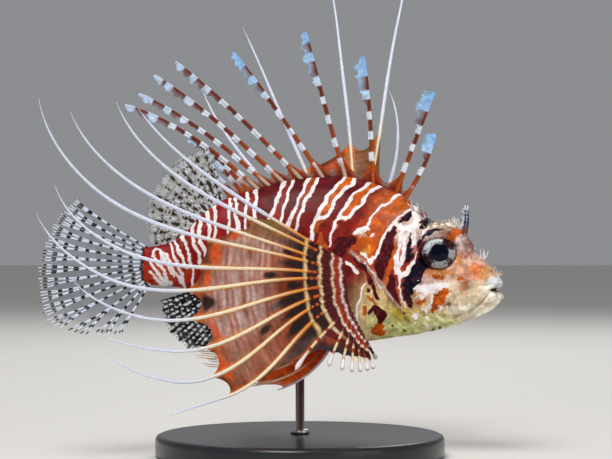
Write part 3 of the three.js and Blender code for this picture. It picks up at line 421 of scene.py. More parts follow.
HEAD_LINES = [
    [(38.4, 52.6, 0.2), (35.3, 56, 0.3), (33, 59.4, 0.4), (30.6, 61.6, 0.4), (27.9, 65.6, 0.4),
     (25.7, 67.8, 0.35), (22, 70.1, 0.3), (18.4, 72.6, 0.2)],
    [(24.6, 64.6, 0.2), (22.8, 61.5, 0.45), (21.4, 58.2, 0.5), (20.2, 54.2, 0.5), (20, 50.8, 0.5),
     (21.2, 46.6, 0.4)],
    [(16.6, 70.4, 0.5), (19.2, 67.4, 0.8), (20.6, 66.4, 0.6)],
    [(20.4, 80.2, 0.3), (22, 80.8, 0.6), (24, 82.5, 0.8), (25.6, 81.4, 0.4)],
    [(21.2, 73.4, 0.3), (23.6, 72.3, 0.8), (25.8, 70.6, 0.7), (27.4, 71.8, 0.4)],
    [(26.6, 79.4, 0.3), (27.9, 79.7, 0.5)],
    [(38.4, 64.6, 0.9), (37.4, 68.6, 1.2), (37.2, 73, 0.6), (38.6, 79, 0.5), (38.2, 83.4, 0.7)],
    [(38.8, 57.6, 0.35), (37.9, 61, 0.4), (38.4, 64.6, 0.8), (41.2, 66.6, 0.7), (43.2, 70, 0.5),
     (44.2, 73.6, 0.3)],
    [(38.8, 57.6, 0.35), (39.6, 54, 0.3)],
    [(39.2, 69, 0.7), (39.6, 74, 0.8), (39.6, 79, 0.7), (42.6, 82, 0.9), (43.4, 86, 1.0),
     (41.4, 88.4, 0.8)],
    [(36.4, 83.2, 0.8), (38.4, 82, 1.1), (40.6, 82.4, 1.2), (43, 81, 0.8), (43.2, 76.6, 0.5)],
    [(44.8, 60.5, 1.2), (48.4, 60.9, 1.5), (52.5, 61.6, 1.3), (55.5, 62.4, 0.7)],
    [(45.2, 79.4, 0.4), (48, 82.4, 0.5), (52.6, 83.4, 0.7), (56, 82.6, 0.7)],
    [(45.4, 57.4, 0.5), (47.8, 58.8, 0.5), (50.2, 59.4, 0.5), (48.8, 55.6, 0.7), (47.4, 52.6, 0.6)],
]
WHITE_SPOTS = [(43.4, 50.9, 0.9), (42.3, 48.3, 0.6), (46.7, 47.6, 0.9), (54.6, 54, 0.5)]
DARK_BARS = [
    [(47.6, 72.5, 1.4), (45.9, 68.7, 2.3), (43.1, 65.3, 2.9), (41.7, 61.6, 2.3), (41, 58.4, 1.5),
     (41.6, 54.6, 1.1)],
    [(35.4, 64.1, 1.4), (35, 60.4, 1.9), (36.6, 56.6, 1.3), (37.6, 54.4, 0.5)],
    [(35.6, 82.4, 0.8), (34.6, 79, 1.9), (33.6, 75.3, 2.6), (31.9, 71.8, 2.8), (30.8, 67.9, 2.3),
     (30.6, 64.8, 1.2)],
    [(42.1, 80.3, 0.3), (42, 76.6, 0.8), (41.5, 72.2, 1.1), (41.2, 70.2, 0.6)],
    [(46.0, 83.0, 1.7), (46.8, 84.8, 1.7)],
    [(37.8, 84.4, 0.4), (39.6, 85.4, 1.1), (41.4, 87, 1.0)],
    [(44.6, 75.2, 0.6), (45.2, 77.2, 0.8), (47.1, 78.8, 0.7), (49.7, 80, 0.9), (52.1, 80.8, 0.6)],
    [(13.4, 73.4, 1.8), (15, 76.4, 2.6), (18.6, 77.6, 1.6)],
    [(25.6, 52.2, 0.5), (28.4, 53.6, 1.3), (30.8, 51.4, 2.0), (30.4, 49.4, 1.2)],
    [(25.3, 60, 0.9)],
    [(18.8, 71.2, 0.4), (21.6, 68.8, 0.8), (25.2, 65.2, 1.0), (28, 61, 1.1), (29.6, 57.4, 0.5)],
]
THROAT_SPOTS = [(34.7, 47.2, 0.6), (38.2, 45.3, 0.6), (39.5, 51.6, 0.4), (48.2, 46.1, 0.6),
                (50.2, 46.3, 0.5)]
ORANGE = [
    [(54.2, 59.6, 1.2), (51.8, 56.9, 1.7), (49.2, 53.4, 1.3)],
    [(46.2, 57, 1.2), (44.8, 55.6, 0.8)],
    [(36.6, 78.4, 0.5), (36.2, 72.6, 0.9), (34.6, 67.4, 0.8), (33, 63.4, 0.5)],
    [(38.6, 70, 0.3), (39.2, 67.2, 0.4)],
    [(54.9, 77.2, 1.1), (56.4, 80.2, 1.4), (57.9, 80.4, 1.2)],
    [(50.3, 65.1, 0.6), (53.2, 64.9, 0.7)],
    [(59.3, 64.8, 0.8)],
    [(28.4, 45.4, 1.6), (30, 47.4, 1.4)],
    [(7.0, 80.4, 0.8), (7.8, 76, 1.4), (9.4, 71, 1.3)],
    [(22.2, 82, 0.6), (25.4, 79.4, 1.3), (28, 75.4, 1.2), (26, 72.2, 0.7)],
    [(24.8, 57.6, 0.5), (27, 56.6, 0.6)],
    [(23.2, 53.8, 0.6), (23.2, 51.2, 0.7)],
    [(27.8, 57.1, 0.5), (28.4, 54.8, 0.7)],
    [(27.2, 45.2, 1.2), (30.1, 44.6, 1.2)],
    [(13.3, 83, 0.5), (11.9, 81.3, 0.6)],
    [(22, 78, 0.8), (24.6, 76.6, 0.9)],
    [(31.8, 88.2, 1.2), (35.4, 88.8, 1.5), (38.4, 90.2, 1.4)],
    [(28.2, 84.6, 0.9), (31.6, 82.4, 0.9), (30.4, 80, 0.6)],
]
# Ground colours from soft patches, with one painted highlight on the upper lip: x, z, width, height,
# colour, strength
PATCHES = [
    (34, 68, 14, 26, "#b4402a", 0.75),
    (24, 76, 6, 7, "#d4702c", 0.75),
    (17.2, 56, 3.4, 13, "#741618", 0.95),
    (34, 90, 9, 6, "#de7a3c", 0.85),
    (27, 80, 7, 6, "#d8702e", 0.8),
    (40, 80, 5, 7, "#ecd2cc", 0.95),
    (44, 84, 4, 4, "#eedcd2", 0.9),
    (27, 52, 9, 12, "#f2dca4", 0.95),
    (37, 47, 13, 7, "#e2e2a0", 1.0),
    (39, 52, 5, 3.6, "#d0b42c", 0.9),
    (47, 54, 7, 7, "#f2d29a", 0.95),
    (52, 48, 10, 4.5, "#ecebb2", 1.0),
    (52, 62, 8, 5, "#f6dad2", 0.95),
    (62, 60, 10, 8, "#fbe8c8", 1.0),
    (62, 68, 9, 6, "#f4d0bc", 1.0),
    (64.2, 67.0, 3.6, 2.8, "#ea8a54", 0.95),
    (67.4, 65.6, 2.6, 3.0, "#d89a54", 0.85),
    (60.6, 61.8, 1.9, 3.6, "#bc6a3e", 0.85),
    (60.4, 73.4, 1.3, 2.2, "#b07a66", 0.6),
    (57.9, 76, 2.2, 4, "#f4dcd4", 0.85),
    (51, 83, 7, 3, "#e6cda8", 0.85),
    (58.6, 70.6, 1.4, 3.2, "#e89a56", 0.8),
    (52.6, 66.2, 7, 1.4, "#dc9048", 0.85),
    (70, 60, 3.6, 6, "#fffaec", 0.95),
    # Painted highlight: the bluish white at the tip of the upper lip
    (69.6, 63.4, 2.2, 1.8, "#dfe6f4", 0.8),
    (63, 53, 9, 2.6, "#fff8e2", 0.95),
    (12, 82, 8, 6, "#9a3222", 0.55),
    (22.5, 80.5, 2.5, 1.5, "#f4d8be", 0.9),
    (23.8, 73.4, 2.4, 1.3, "#f4be52", 0.9),
    (26.2, 76, 1.1, 2.8, "#f0aa4a", 0.85),
    (20, 82.6, 1.5, 1.1, "#b4382a", 0.7),
    (48.6, 78.6, 4.4, 1.7, "#dccabe", 0.9),
    (54.6, 55, 2.2, 0.7, "#6e3420", 0.8),
    (-48, 66, 8, 6, "#d05a34", 0.75),
    (-46, 76, 7, 4, "#9e2a22", 0.7),
]
BACK_RED, FLANK_RED, STEM_RED, BELLY_PALE = "#741a20", "#921e1c", "#ac2420", "#f0dccc"
RUST, AMBER, TAIL_AMBER = "#9a3a28", "#d87024", "#a83c1e"
NAVY, MAROON, RED_BROWN = "#1a1030", "#561220", "#8e2a22"
# The first colour is painted shade for the inside of the open mouth
MOUTH_SHADE, FLAP_PINK = "#3a1a1c", "#dfb4a6"
PAIR_HALF, LONE_HALF = 0.62, 0.52

amber_tint = mixed(RUST, AMBER, soft(x_of, -6, 14))
amber_tint = mixed(amber_tint, TAIL_AMBER, soft(-x_of, 20, 30))
wavy = at + np.stack([ripple(at, 7, 11), ripple(at, 7, 12)], 1) * 0.35
wavy += np.stack([ripple(at, 2.2, 13), ripple(at, 2.2, 14)], 1) * (0.13 + 0.2 * on_head)[:, None]
back_z, belly_z = section(x_of)[:2]
depth_share = (z_of - belly_z) / (back_z - belly_z + 1e-6)
ground = mixed(FLANK_RED, BACK_RED, soft(depth_share, 0.6, 0.95))
ground = mixed(ground, STEM_RED, soft(-x_of, 8, 34) * 0.85)
low = (1 - soft(depth_share, 0.02, 0.26)) * soft(x_of, -30, -6)
ground = mixed(ground, BELLY_PALE, low * 0.9)
for x, z, wide, tall, colour, strength in PATCHES:
    share = strength * np.exp(-(((wavy[:, 0] - x) / wide) ** 2 + ((wavy[:, 1] - z) / tall) ** 2) ** 1.6)
    ground = mixed(ground, colour, share)
# Painted shade darkens the inside of the open mouth
ground = mixed(ground, MOUTH_SHADE, soft(opened.ravel(), 0.35, 0.95))
on_cheek = soft(x_of, 37, 41)
dark_tint = mixed(MAROON, NAVY, on_cheek * soft(z_of, 54, 60))
dark_tint = mixed(dark_tint, RED_BROWN, soft(ripple(at, 2.6, 31), 0.2, 1.2) * (0.75 - 0.5 * on_cheek))
# The pale lines grow thinner on the belly
pale = 0.24 * low + strokes(wavy, [even(line, PAIR_HALF) for pair in PAIRS for line in pair]
                            + [even(line, LONE_HALF) for line in LONE_LINES] + HEAD_LINES
                            + [[spot] for spot in WHITE_SPOTS])
orange = strokes(wavy, ORANGE)
for first, second in PAIRS:
    between = [((x + x_next) / 2, (z + z_next) / 2, abs(x - x_next) / 2.6)
               for (x, z), (x_next, z_next) in zip(first, second)]
    orange = np.minimum(orange, stroke(wavy, between) + 0.1 * (between[0][0] < 8))
dark = strokes(wavy, DARK_BARS + [[spot] for spot in THROAT_SPOTS])

# The fleshy edge of the gill cover is bare of marks
flap = (1 - soft(gill_far, 0.8, 1.2)) * cover_side * soft(z_of, 51, 54) * soft(75 - z_of, 0, 1.5)
ground = mixed(ground, FLAP_PINK, flap)
orange = np.maximum(orange, 3 * flap - 2)
dark = np.maximum(dark, 3 * flap - 2)

DEPTH_OF_COLOUR, MILK_SHADE, MILK = 1.18, "#cba8a8", "#fffaf8"
resin, tree, shader = finish("painted_resin_fish_skin", 0.5, specular_ior_level=0.1, coat_weight=0.06,
                             coat_roughness=0.22)
place = object_place(tree)


def painted(tree, name):
    """The paint or value that a piece carries at its points."""
    return add(tree, "ShaderNodeAttribute", attribute_name=name)


def number(tree, operation, first, second):
    """Arithmetic on two numbers."""
    return add(tree, "ShaderNodeMath", {0: first, 1: second}, operation=operation).outputs[0]


def ranged(tree, value, source, target, kind="LINEAR"):
    """A number moved from one range to another, and kept within it."""
    made = add(tree, "ShaderNodeMapRange", {"Value": value, "From Min": source[0], "From Max": source[1],
                                            "To Min": target[0], "To Max": target[1]},
               interpolation_type=kind)
    return made.outputs["Result"]


def grain_grey(tree, grain, low, high):
    """Grain as a number between low and high."""
    return ranged(tree, grain, (0.3, 0.7), (low, high))


def as_grey(tree, value):
    """A number as a grey."""
    return add(tree, "ShaderNodeCombineColor", {0: value, 1: value, 2: value}).outputs[0]


def covered(tree, name, grain, wander, edge):
    """1 inside a painted mark and 0 outside, its edge wandering with the grain."""
    shift = number(tree, "MULTIPLY", number(tree, "SUBTRACT", grain, 0.5), wander)
    moved = number(tree, "ADD", painted(tree, name).outputs["Fac"], shift)
    return ranged(tree, moved, (-edge, edge), (1.0, 0.0), "SMOOTHSTEP")


def colour_surface(tree, shader, colour):
    """The surface's colour, a little deeper than painted, as under a clear varnish."""
    deep = add(tree, "ShaderNodeGamma", {0: colour, 1: DEPTH_OF_COLOUR})
    tree.links.new(deep.outputs[0], shader.inputs["Base Color"])


def emboss(tree, shader, height, strength, depth_mm):
    """Fine relief on the surface."""
    bump = add(tree, "ShaderNodeBump", {"Height": height, "Strength": strength, "Distance": depth_mm * MM})
    tree.links.new(bump.outputs["Normal"], shader.inputs["Normal"])


# Mottling 0.8 mm and 3 mm across, from the colour cells of the skin
fine = noise(tree, place, 0.8, 4)
broad = noise(tree, place, 3.03, 5, 0.4)
shade = number(tree, "MULTIPLY", grain_grey(tree, broad, 0.55, 1.3), grain_grey(tree, fine, 0.75, 1.2))
grey = as_grey(tree, shade)
skin_colour = blend(tree, 0.85, painted(tree, "ground").outputs["Color"], grey, "MULTIPLY")
amber = blend(tree, 1.0, painted(tree, "amber_tint").outputs["Color"], grey, "MULTIPLY")
skin_colour = blend(tree, covered(tree, "orange", fine, 1.1, 0.3), skin_colour, amber)
dark_colour = blend(tree, 0.6, painted(tree, "dark_tint").outputs["Color"], grey, "MULTIPLY")
skin_colour = blend(tree, covered(tree, "dark", fine, 0.7, 0.16), skin_colour, dark_colour)
milk = blend(tree, shade, rgba(MILK_SHADE), rgba(MILK))
skin_colour = blend(tree, covered(tree, "pale", fine, 0.8, 0.14), skin_colour, milk)
colour_surface(tree, shader, skin_colour)
# Scales overlap in rows about 1.3 mm apart on the trunk; head skin is finely pitted
flow = painted(tree, "flow").outputs["Vector"]
scales = add(tree, "ShaderNodeTexVoronoi", {"Vector": flow, "Scale": 0.8, "Randomness": 0.35}, feature="F1")
relief = number(tree, "MULTIPLY", scales.outputs["Distance"], painted(tree, "scaled").outputs["Fac"])
relief = number(tree, "ADD", relief, number(tree, "MULTIPLY", fine, 0.5))
emboss(tree, shader, relief, 0.28, 0.3)
tree.links.new(ranged(tree, fine, (0, 1), (0.4, 0.6)), shader.inputs["Roughness"])


def ring_faces(rings, sides):
    """Four-sided faces between closed rings of points."""
    corners = [(i * sides, k, (k + 1) % sides) for i in range(rings - 1) for k in range(sides)]
    return [[a + k, a + sides + k, a + sides + n, a + n] for a, k, n in corners]


rings = len(ring_x)
girth = np.cumsum(np.linalg.norm(np.roll(skin, -1, 1) - skin, axis=2), axis=1)
flow_values = np.stack([skin_x, girth * np.ones_like(skin_x), np.zeros_like(skin_x)], 2).reshape(-1, 3)
ends = np.array([skin[0].mean(0), skin[-1].mean(0) + [NOSE_POINT, 0, 0]])
faces = ring_faces(rings, SKIN_SIDES)
tail_middle = rings * SKIN_SIDES
for k in range(SKIN_SIDES):
    n = (k + 1) % SKIN_SIDES
    faces.append([tail_middle, k, n])
    faces.append([tail_middle + 1, (rings - 1) * SKIN_SIDES + n, (rings - 1) * SKIN_SIDES + k])


def with_ends(value):
    """A value at the skin's points, with its means at the middles of the two ends."""
    rows = value.reshape(rings, SKIN_SIDES, -1)
    means = rows[[0, -1]].mean(1)
    made = np.concatenate([value.reshape(rings * SKIN_SIDES, -1), means])
    return made[:, 0] if made.shape[1] == 1 else made


skin_paint = {"ground": ground, "amber_tint": amber_tint, "dark_tint": dark_tint, "pale": pale,
              "orange": orange, "dark": dark, "flow": flow_values, "scaled": 1 - 0.85 * on_head}
body = piece("fish_skin", [(np.concatenate([skin.reshape(-1, 3), ends]), faces,
                            {key: with_ends(value) for key, value in skin_paint.items()})], resin)
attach(body, "root")
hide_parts("head", "lower_jaw", "gill_cover_right", "gill_cover_left", "trunk_front", "trunk_rear",
            "tail_stem")


# Eyes: glass-like resin balls, painted behind a thick gloss, seated in the sockets. The dark bar
# of the head crosses the silver iris, and the pupil is a low navy lens.
PUPIL_RADIUS, GAZE, EYE_FLATNESS = 3.25, math.radians(17), 0.8
EYE_RINGS, EYE_SIDES = 150, 220
EYE_HEADING = float(heading(EYE_X))
UP = np.array([0, 0, 1])
gloss, tree, shader = finish("gloss_painted_eye", 0.3, specular_ior_level=0.0, coat_weight=0.3,
                             coat_roughness=0.02)
# Fibres of the iris, 0.4 mm across
grey = as_grey(tree, grain_grey(tree, noise(tree, object_place(tree), 0.417, 3), 0.7, 1.2))
tree.links.new(blend(tree, 0.8, painted(tree, "iris").outputs["Color"], grey, "MULTIPLY"),
               shader.inputs["Base Color"])


def facing(turn, side):
    """The ways ahead and outwards for one side of the fish, turned about the upright."""
    ahead = np.array([math.cos(turn), math.sin(turn), 0])
    return ahead, side * np.array([-math.sin(turn), math.cos(turn), 0])


def angle_from(bearings, middle):
    """Degrees from each bearing to a middle one, at most half a turn."""
    return (bearings - middle + 180) % 360 - 180


for side, name, node in ((-1, "eyeball_right", "eye_right"), (1, "eyeball_left", "eye_left")):
    forward, out = facing(EYE_HEADING, side)
    reach_eye = float(section(EYE_X)[2]) + EYE_PROUD - EYE_DEPTH
    centre = on_middle(EYE_X, EYE_Z) + out * reach_eye
    phi = np.linspace(0, math.pi, EYE_RINGS + 1)[:, None]
    theta = np.arange(EYE_SIDES)[None, :] * 2 * math.pi / EYE_SIDES
    # The front is a little flatter than an ellipsoid, so the iris faces outwards
    round_share = np.sin(phi) ** EYE_FLATNESS
    out_share = np.sign(np.cos(phi)) * np.abs(np.cos(phi)) ** EYE_FLATNESS
    ball = (forward * (round_share * np.cos(theta))[..., None] * EYE_RADIUS
            + UP * (round_share * np.sin(theta))[..., None] * EYE_RADIUS
            + out * (out_share * np.ones_like(theta))[..., None] * EYE_DEPTH)
    look_ahead = facing(EYE_HEADING - side * GAZE, side)[0]
    ahead_mm, up_mm = ball @ look_ahead, ball[..., 2]
    from_pupil = np.hypot(ahead_mm, up_mm)
    # The pupil bulges a little, and the iris is dished round it
    ball = ball * (1 + 0.035 * (1 - soft(from_pupil, 2.6, 3.5)) - 0.02 * soft(from_pupil, 3.3, 3.8)
                   * (1 - soft(from_pupil, 5.0, 5.8)))[..., None]
    bearing = np.degrees(np.arctan2(up_mm, ahead_mm)).ravel()
    far = from_pupil.ravel()
    # The paler arc at the upper left of the iris, towards the key light, is a painted highlight
    iris = mixed("#a9adae", "#e6edf2", np.exp(-((bearing - 135) / 34) ** 2) * soft(far, 3.6, 4.4))
    iris_place = np.stack([ahead_mm, up_mm], 2).reshape(-1, 2)
    iris = mixed(iris, "#747c84", 0.7 * soft(ripple(iris_place, 1.5, 41), 0, 1.4))
    astray = 8 * ripple(iris_place, 2, 43) + 4 * ripple(iris_place, 0.8, 44)
    for middle_angle, width, colour in ((47, 33, "#2a1018"), (-148, 29, "#1a0c20"), (-43, 13, "#38302e")):
        gap_angle = np.abs(angle_from(bearing + astray, middle_angle))
        tone = mixed(colour, "#5c2c1c", 0.6 * soft(ripple(iris_place, 2.2, 42), 0.2, 1.3))
        iris = mixed(iris, tone, 1 - soft(gap_angle, width - 6, width + 5))
    rim = soft(far, 5.3, 6.0)
    lower_rim = np.exp(-(angle_from(bearing, -60) / 70) ** 2)
    iris = mixed(iris, "#8c5228", rim * lower_rim)
    iris = mixed(iris, "#3a2a2c", rim * (1 - lower_rim) * 0.6)
    iris = mixed(iris, "#05071c", 1 - soft(far, PUPIL_RADIUS - 0.14, PUPIL_RADIUS + 0.12))
    # The left ball is a mirror image, so its faces are read backwards
    faces = [face[::-side] for face in ring_faces(EYE_RINGS + 1, EYE_SIDES)]
    eye = piece(name, [((centre + ball).reshape(-1, 3), faces, {"iris": iris})], gloss)
    # The rings at the two poles shrink to a point each, where their corners are joined
    work = bmesh.new()
    work.from_mesh(eye.data)
    bmesh.ops.remove_doubles(work, verts=work.verts, dist=1e-7)
    bmesh.ops.recalc_face_normals(work, faces=work.faces)
    work.to_mesh(eye.data)
    work.free()
    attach(eye, "root")
    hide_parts(node)


# Skin flaps and head spines: soft resin cirri pressed into the wet paint over the eyes, on the
# snout, cheek and jaw, and short hard spines on the nape. Each is a tapered tuft of filaments.
def tube_tree():
    """Turns edge paths with a radius at each point into tapered round bars with closed ends."""
    tree = bpy.data.node_groups.new("tube_along_path", "GeometryNodeTree")
    face = tree.interface
    face.new_socket("Paths", in_out="INPUT", socket_type="NodeSocketGeometry")
    face.new_socket("Sides", in_out="INPUT", socket_type="NodeSocketInt")
    face.new_socket("Material", in_out="INPUT", socket_type="NodeSocketMaterial")
    face.new_socket("Bars", in_out="OUTPUT", socket_type="NodeSocketGeometry")
    start = add(tree, "NodeGroupInput")
    width = add(tree, "GeometryNodeInputNamedAttribute", {"Name": "radius"}, data_type="FLOAT")
    curve = add(tree, "GeometryNodeMeshToCurve", {0: start.outputs["Paths"]})
    sized = add(tree, "GeometryNodeSetCurveRadius", {"Curve": curve.outputs[0], "Radius": width.outputs[0]})
    ring = add(tree, "GeometryNodeCurvePrimitiveCircle", {"Resolution": start.outputs["Sides"],
                                                          "Radius": 1.0})
    bars = add(tree, "GeometryNodeCurveToMesh", {"Curve": sized.outputs[0], "Fill Caps": True,
                                                 "Profile Curve": ring.outputs[0]})
    if "Scale" in bars.inputs:
        tree.links.new(width.outputs[0], bars.inputs["Scale"])
    rounded = add(tree, "GeometryNodeSetShadeSmooth", {0: bars.outputs[0]})
    whole = add(tree, "GeometryNodeRealizeInstances", {0: rounded.outputs[0]})
    dressed = add(tree, "GeometryNodeSetMaterial", {0: whole.outputs[0],
                                                    "Material": start.outputs["Material"]})
    end = add(tree, "NodeGroupOutput")
    tree.links.new(dressed.outputs[0], end.inputs[0])
    return tree


TUBES = tube_tree()


def tubes(name, paths, radii, paints, material, sides):
    """Round bars along paths in millimetres, with a radius and a colour at each point."""
    edges, start = [], 0
    for path in paths:
        edges += [(start + i, start + i + 1) for i in range(len(path) - 1)]
        start += len(path)
    mesh = bpy.data.meshes.new(name + "_paths")
    mesh.from_pydata((np.concatenate(paths) * MM).tolist(), edges, [])
    radius = (np.concatenate(radii) * MM).astype(np.float32)
    mesh.attributes.new("radius", "FLOAT", "POINT").data.foreach_set("value", radius)
    write_values(mesh, {"paint": paints})
    source = bpy.data.objects.new(name + "_paths", mesh)
    bpy.context.scene.collection.objects.link(source)
    modifier = source.modifiers.new("tube along path", "NODES")
    modifier.node_group = TUBES
    inputs = {s.name: s.identifier for s in TUBES.interface.items_tree if s.in_out == "INPUT"}
    modifier[inputs["Sides"]] = sides
    modifier[inputs["Material"]] = material
    graph = bpy.context.evaluated_depsgraph_get()
    made = bpy.data.objects.new(name, bpy.data.meshes.new_from_object(source.evaluated_get(graph)))
    bpy.data.objects.remove(source)
    bpy.data.meshes.remove(mesh)
    if "radius" in made.data.attributes:
        made.data.attributes.remove(made.data.attributes["radius"])
    bpy.context.scene.collection.objects.link(made)
    return made


def flank(x, z, side, depth):
    """A place sunk under the skin at a station and height, on the fish's right (-1) or left (1)."""
    back, belly, half, middle, upper, lower = section(x)
    above = z >= middle
    power = upper if above else lower
    share = min(abs(z - middle) / (back - middle if above else middle - belly), 0.999)
    reach = side * (half * (1 - share ** power) ** (1 / power) - depth)
    turn = heading(x)
    return np.array([x - reach * math.sin(turn), midline(x) + reach * math.cos(turn), z])


def ray_path(root, length, start, end, sag=0.0, late=3.0, spread=0.0, settle=None, side=1, steps=120):
    """A ray's centreline. start and end are its rises above straight back in degrees, sag dips its
    first part, late says how late it swings, spread and settle are its angles off the middle plane."""
    settle = spread if settle is None else settle
    s = (np.arange(steps) + 0.5) / steps
    dip = sag * np.sin(math.pi * np.minimum(s / 0.75, 1))
    rise = np.radians(start - dip + (end - start) * s ** late)
    out = np.radians(spread + (settle - spread) * s)
    go = np.stack([-np.cos(rise) * np.cos(out), side * np.sin(out), np.sin(rise) * np.cos(out)], 1)
    return np.concatenate([[root], root + np.cumsum(go * length / steps, axis=0)])


def along(path, share):
    """Places on a path by their share of its length."""
    at_share = np.clip(share, 0, 1) * (len(path) - 1)
    return np.stack([np.interp(at_share, np.arange(len(path)), path[:, k]) for k in range(3)], -1)


def own_paint(tree, shader, light):
    """Takes the surface's colour from the piece's own paint, lighter and darker with the grain."""
    colour = painted(tree, "paint").outputs["Color"]
    colour_surface(tree, shader, blend(tree, 0.9, colour, as_grey(tree, light), "MULTIPLY"))


def satin_paint(name, roughness, coat_weight):
    """Opaque paint with a grain 0.5 mm across."""
    material, tree, shader = finish(name, roughness, coat_weight=coat_weight)
    grain = noise(tree, object_place(tree), 0.5, 3)
    own_paint(tree, shader, ranged(tree, grain, (0.25, 0.75), (0.78, 1.15)))
    emboss(tree, shader, grain, 0.1, 0.2)
    return material


flap_paint = satin_paint("painted_resin_flaps", 0.45, 0.2)
# Station, height, length, rise at root and tip, spread, filaments, root radius, colour, tip colour
FLAPS = [
    (56.6, 81.2, 4.6, 100, 84, 16, 3, 0.5, "#dcd4cc", "#fbfaf8"),
    (54.5, 82.3, 4.4, 108, 84, 20, 3, 0.5, "#d2c2a8", "#f8f6f0"),
    (52.3, 82.6, 3.2, 96, 70, 24, 2, 0.5, "#a88458", "#e6dac4"),
    (50.4, 82.4, 3.0, 116, 90, 20, 3, 0.46, "#8a6440", "#d8c6a6"),
    (48.2, 81.8, 2.8, 90, 60, 22, 2, 0.46, "#b49268", "#f0e4cc"),
    (46.5, 81, 3.2, 104, 70, 20, 2, 0.46, "#7a5a40", "#d8c4a4"),
    (54, 65.4, 2.6, -4, 0, 42, 1, 0.5, "#e6d2c4", "#f4ece4"),
    (46, 63.6, 2.6, -4, 0, 42, 1, 0.5, "#5a2a34", "#d8b8b0"),
    (41.5, 88, 4.8, 70, 50, 24, 2, 0.6, "#b8b0b0", "#ece8ea"),
    (44.5, 86, 4.6, 70, 50, 24, 2, 0.6, "#6a3a3c", "#c8b8b8"),
    (45, 58, 3.0, -20, -20, 55, 1, 0.55, "#caa890", "#efe4d8"),
    (46.2, 54, 3.0, -40, -40, 55, 3, 0.45, "#e6dcc8", "#faf6ee"),
    (47.4, 51, 3.2, -60, -60, 55, 4, 0.45, "#ece4d0", "#fdfbf6"),
    (43.4, 50.8, 2.4, -60, -30, 50, 4, 0.45, "#f0ead8", "#ffffff"),
    (53, 54.4, 3.4, -30, 0, 40, 4, 0.42, "#eadfc8", "#fdfaf2"),
    (64, 70.4, 5.8, 128, 70, 16, 2, 0.42, "#e2cfc8", "#f2f0f4"),
    (60.8, 73.6, 2.2, 120, 80, 16, 2, 0.3, "#d8c0b8", "#eeeaea"),
    (69.2, 65, 2.8, 140, 110, 16, 4, 0.3, "#d8b088", "#f0e4d4"),
    (67.6, 66.8, 2.4, 130, 100, 16, 3, 0.28, "#c89868", "#e8d8c4"),
    (56, 48.6, 2.6, -80, -60, 20, 4, 0.34, "#e8dfc2", "#fbf7e8"),
    (60.4, 50.2, 2.0, -90, -70, 20, 3, 0.28, "#efe6cc", "#fbf7ea"),
]
HORN_PLACE, HORN_LENGTH, HORN_RISE = (58.2, 78.8), 11.5, (106, 84)
# Short twigs of the horn over the eye: the point of the horn they leave from, and their length
TWIGS = [(13, 1.5), (19, 2.2), (22, 1.2), (27, 2.0), (31, 1.1)]
rng = np.random.default_rng(31)
paths, radii, paints = [], [], []
for side in (-1, 1):
    for x, z, length, start, end, spread, count, width, low_colour, tip_colour in FLAPS:
        for k in range(count):
            fan = (k - (count - 1) / 2) * 21 + (rng.normal() * 5 if count > 1 else 0)
            size = length * (1 - 0.28 * abs(k - (count - 1) / 2) / max(count, 1)) * rng.uniform(0.85, 1.0)
            path = ray_path(flank(x, z, side, 0.7), size, start + fan, end + fan * 1.5, late=1.2,
                            spread=spread + rng.normal() * 4, side=side, steps=10)
            s = np.linspace(0, 1, len(path))
            paths.append(path)
            radii.append(width * (1 - 0.85 * s ** 1.2) * (1 if count == 1 else 0.9))
            paints.append(mixed(low_colour, tip_colour, s))
    stem = ray_path(flank(*HORN_PLACE, side, 0.8), HORN_LENGTH, *HORN_RISE, late=1, spread=8, side=side,
                    steps=36)
    s = np.linspace(0, 1, len(stem))
    paths.append(stem)
    radii.append(0.58 * (1 - 0.6 * s))
    stalk = mixed("#8a5236", "#3a4264", soft(s, 0.15, 0.5))
    paints.append(mixed(stalk, "#eaf1f8", soft(s, 0.8, 0.92)))
    for foot, size in TWIGS:
        twig = ray_path(stem[foot], size, 20 + rng.normal() * 14, 66, late=1, spread=rng.normal() * 14,
                        side=side, steps=8)
        t = np.linspace(0, 1, len(twig))
        paths.append(twig)
        radii.append(0.36 * (1 - 0.8 * t))
        paints.append(mixed("#a9bcd8", "#f4f8fc", t))
flaps = tubes("head_flaps", paths, radii, paints, flap_paint, 7)
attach(flaps, "root")


# Spiny dorsal fin: thirteen hard spines in brown and blue-white bands, each with a thin flag of
# skin down its rear edge that widens and frays near the tip, and a low orange web at their feet.
ROOT_SINK = 2.0
SPINE_FOOT_X = [37.2, 34.2, 26.4, 17, 9.4, 2, -4.6, -9.6, -13.6, -17, -19.6, -22, -24.2]
SPINE_LENGTH = [25, 38, 46, 54, 56, 62, 61, 59, 58, 30, 15, 10, 14]
SPINE_START = [124, 110, 89, 74, 57, 47, 45, 43, 43, 50, 55, 52, 60]
SPINE_END = [104, 112, 82, 76, 52, 38, 33, 25, 18, 33, 48, 46, 54]
SPINE_LEAN = [3, -4, 2, -3, 4, -3, 3, 7, 5, 7, 6, 4, 2]
SPINE_FLAG = [2.6, 2.8, 2.4, 1.8, 1.2, 1, 0.9, 0.8, 0.8, 0.7, 0.4, 0.3, 0.3]
SPINE_EDGE, SPINE_WEB = 0.45, 0.13
FLAG_COLUMNS, FLAG_HALF, WEB_HALF = 9, 0.1, 0.12
BAND_LENGTH = 7.4
BROWN, EMBER, ICE, BLUE = "#7e3616", "#b85c1c", "#e6ecf6", "#8cc0f0"


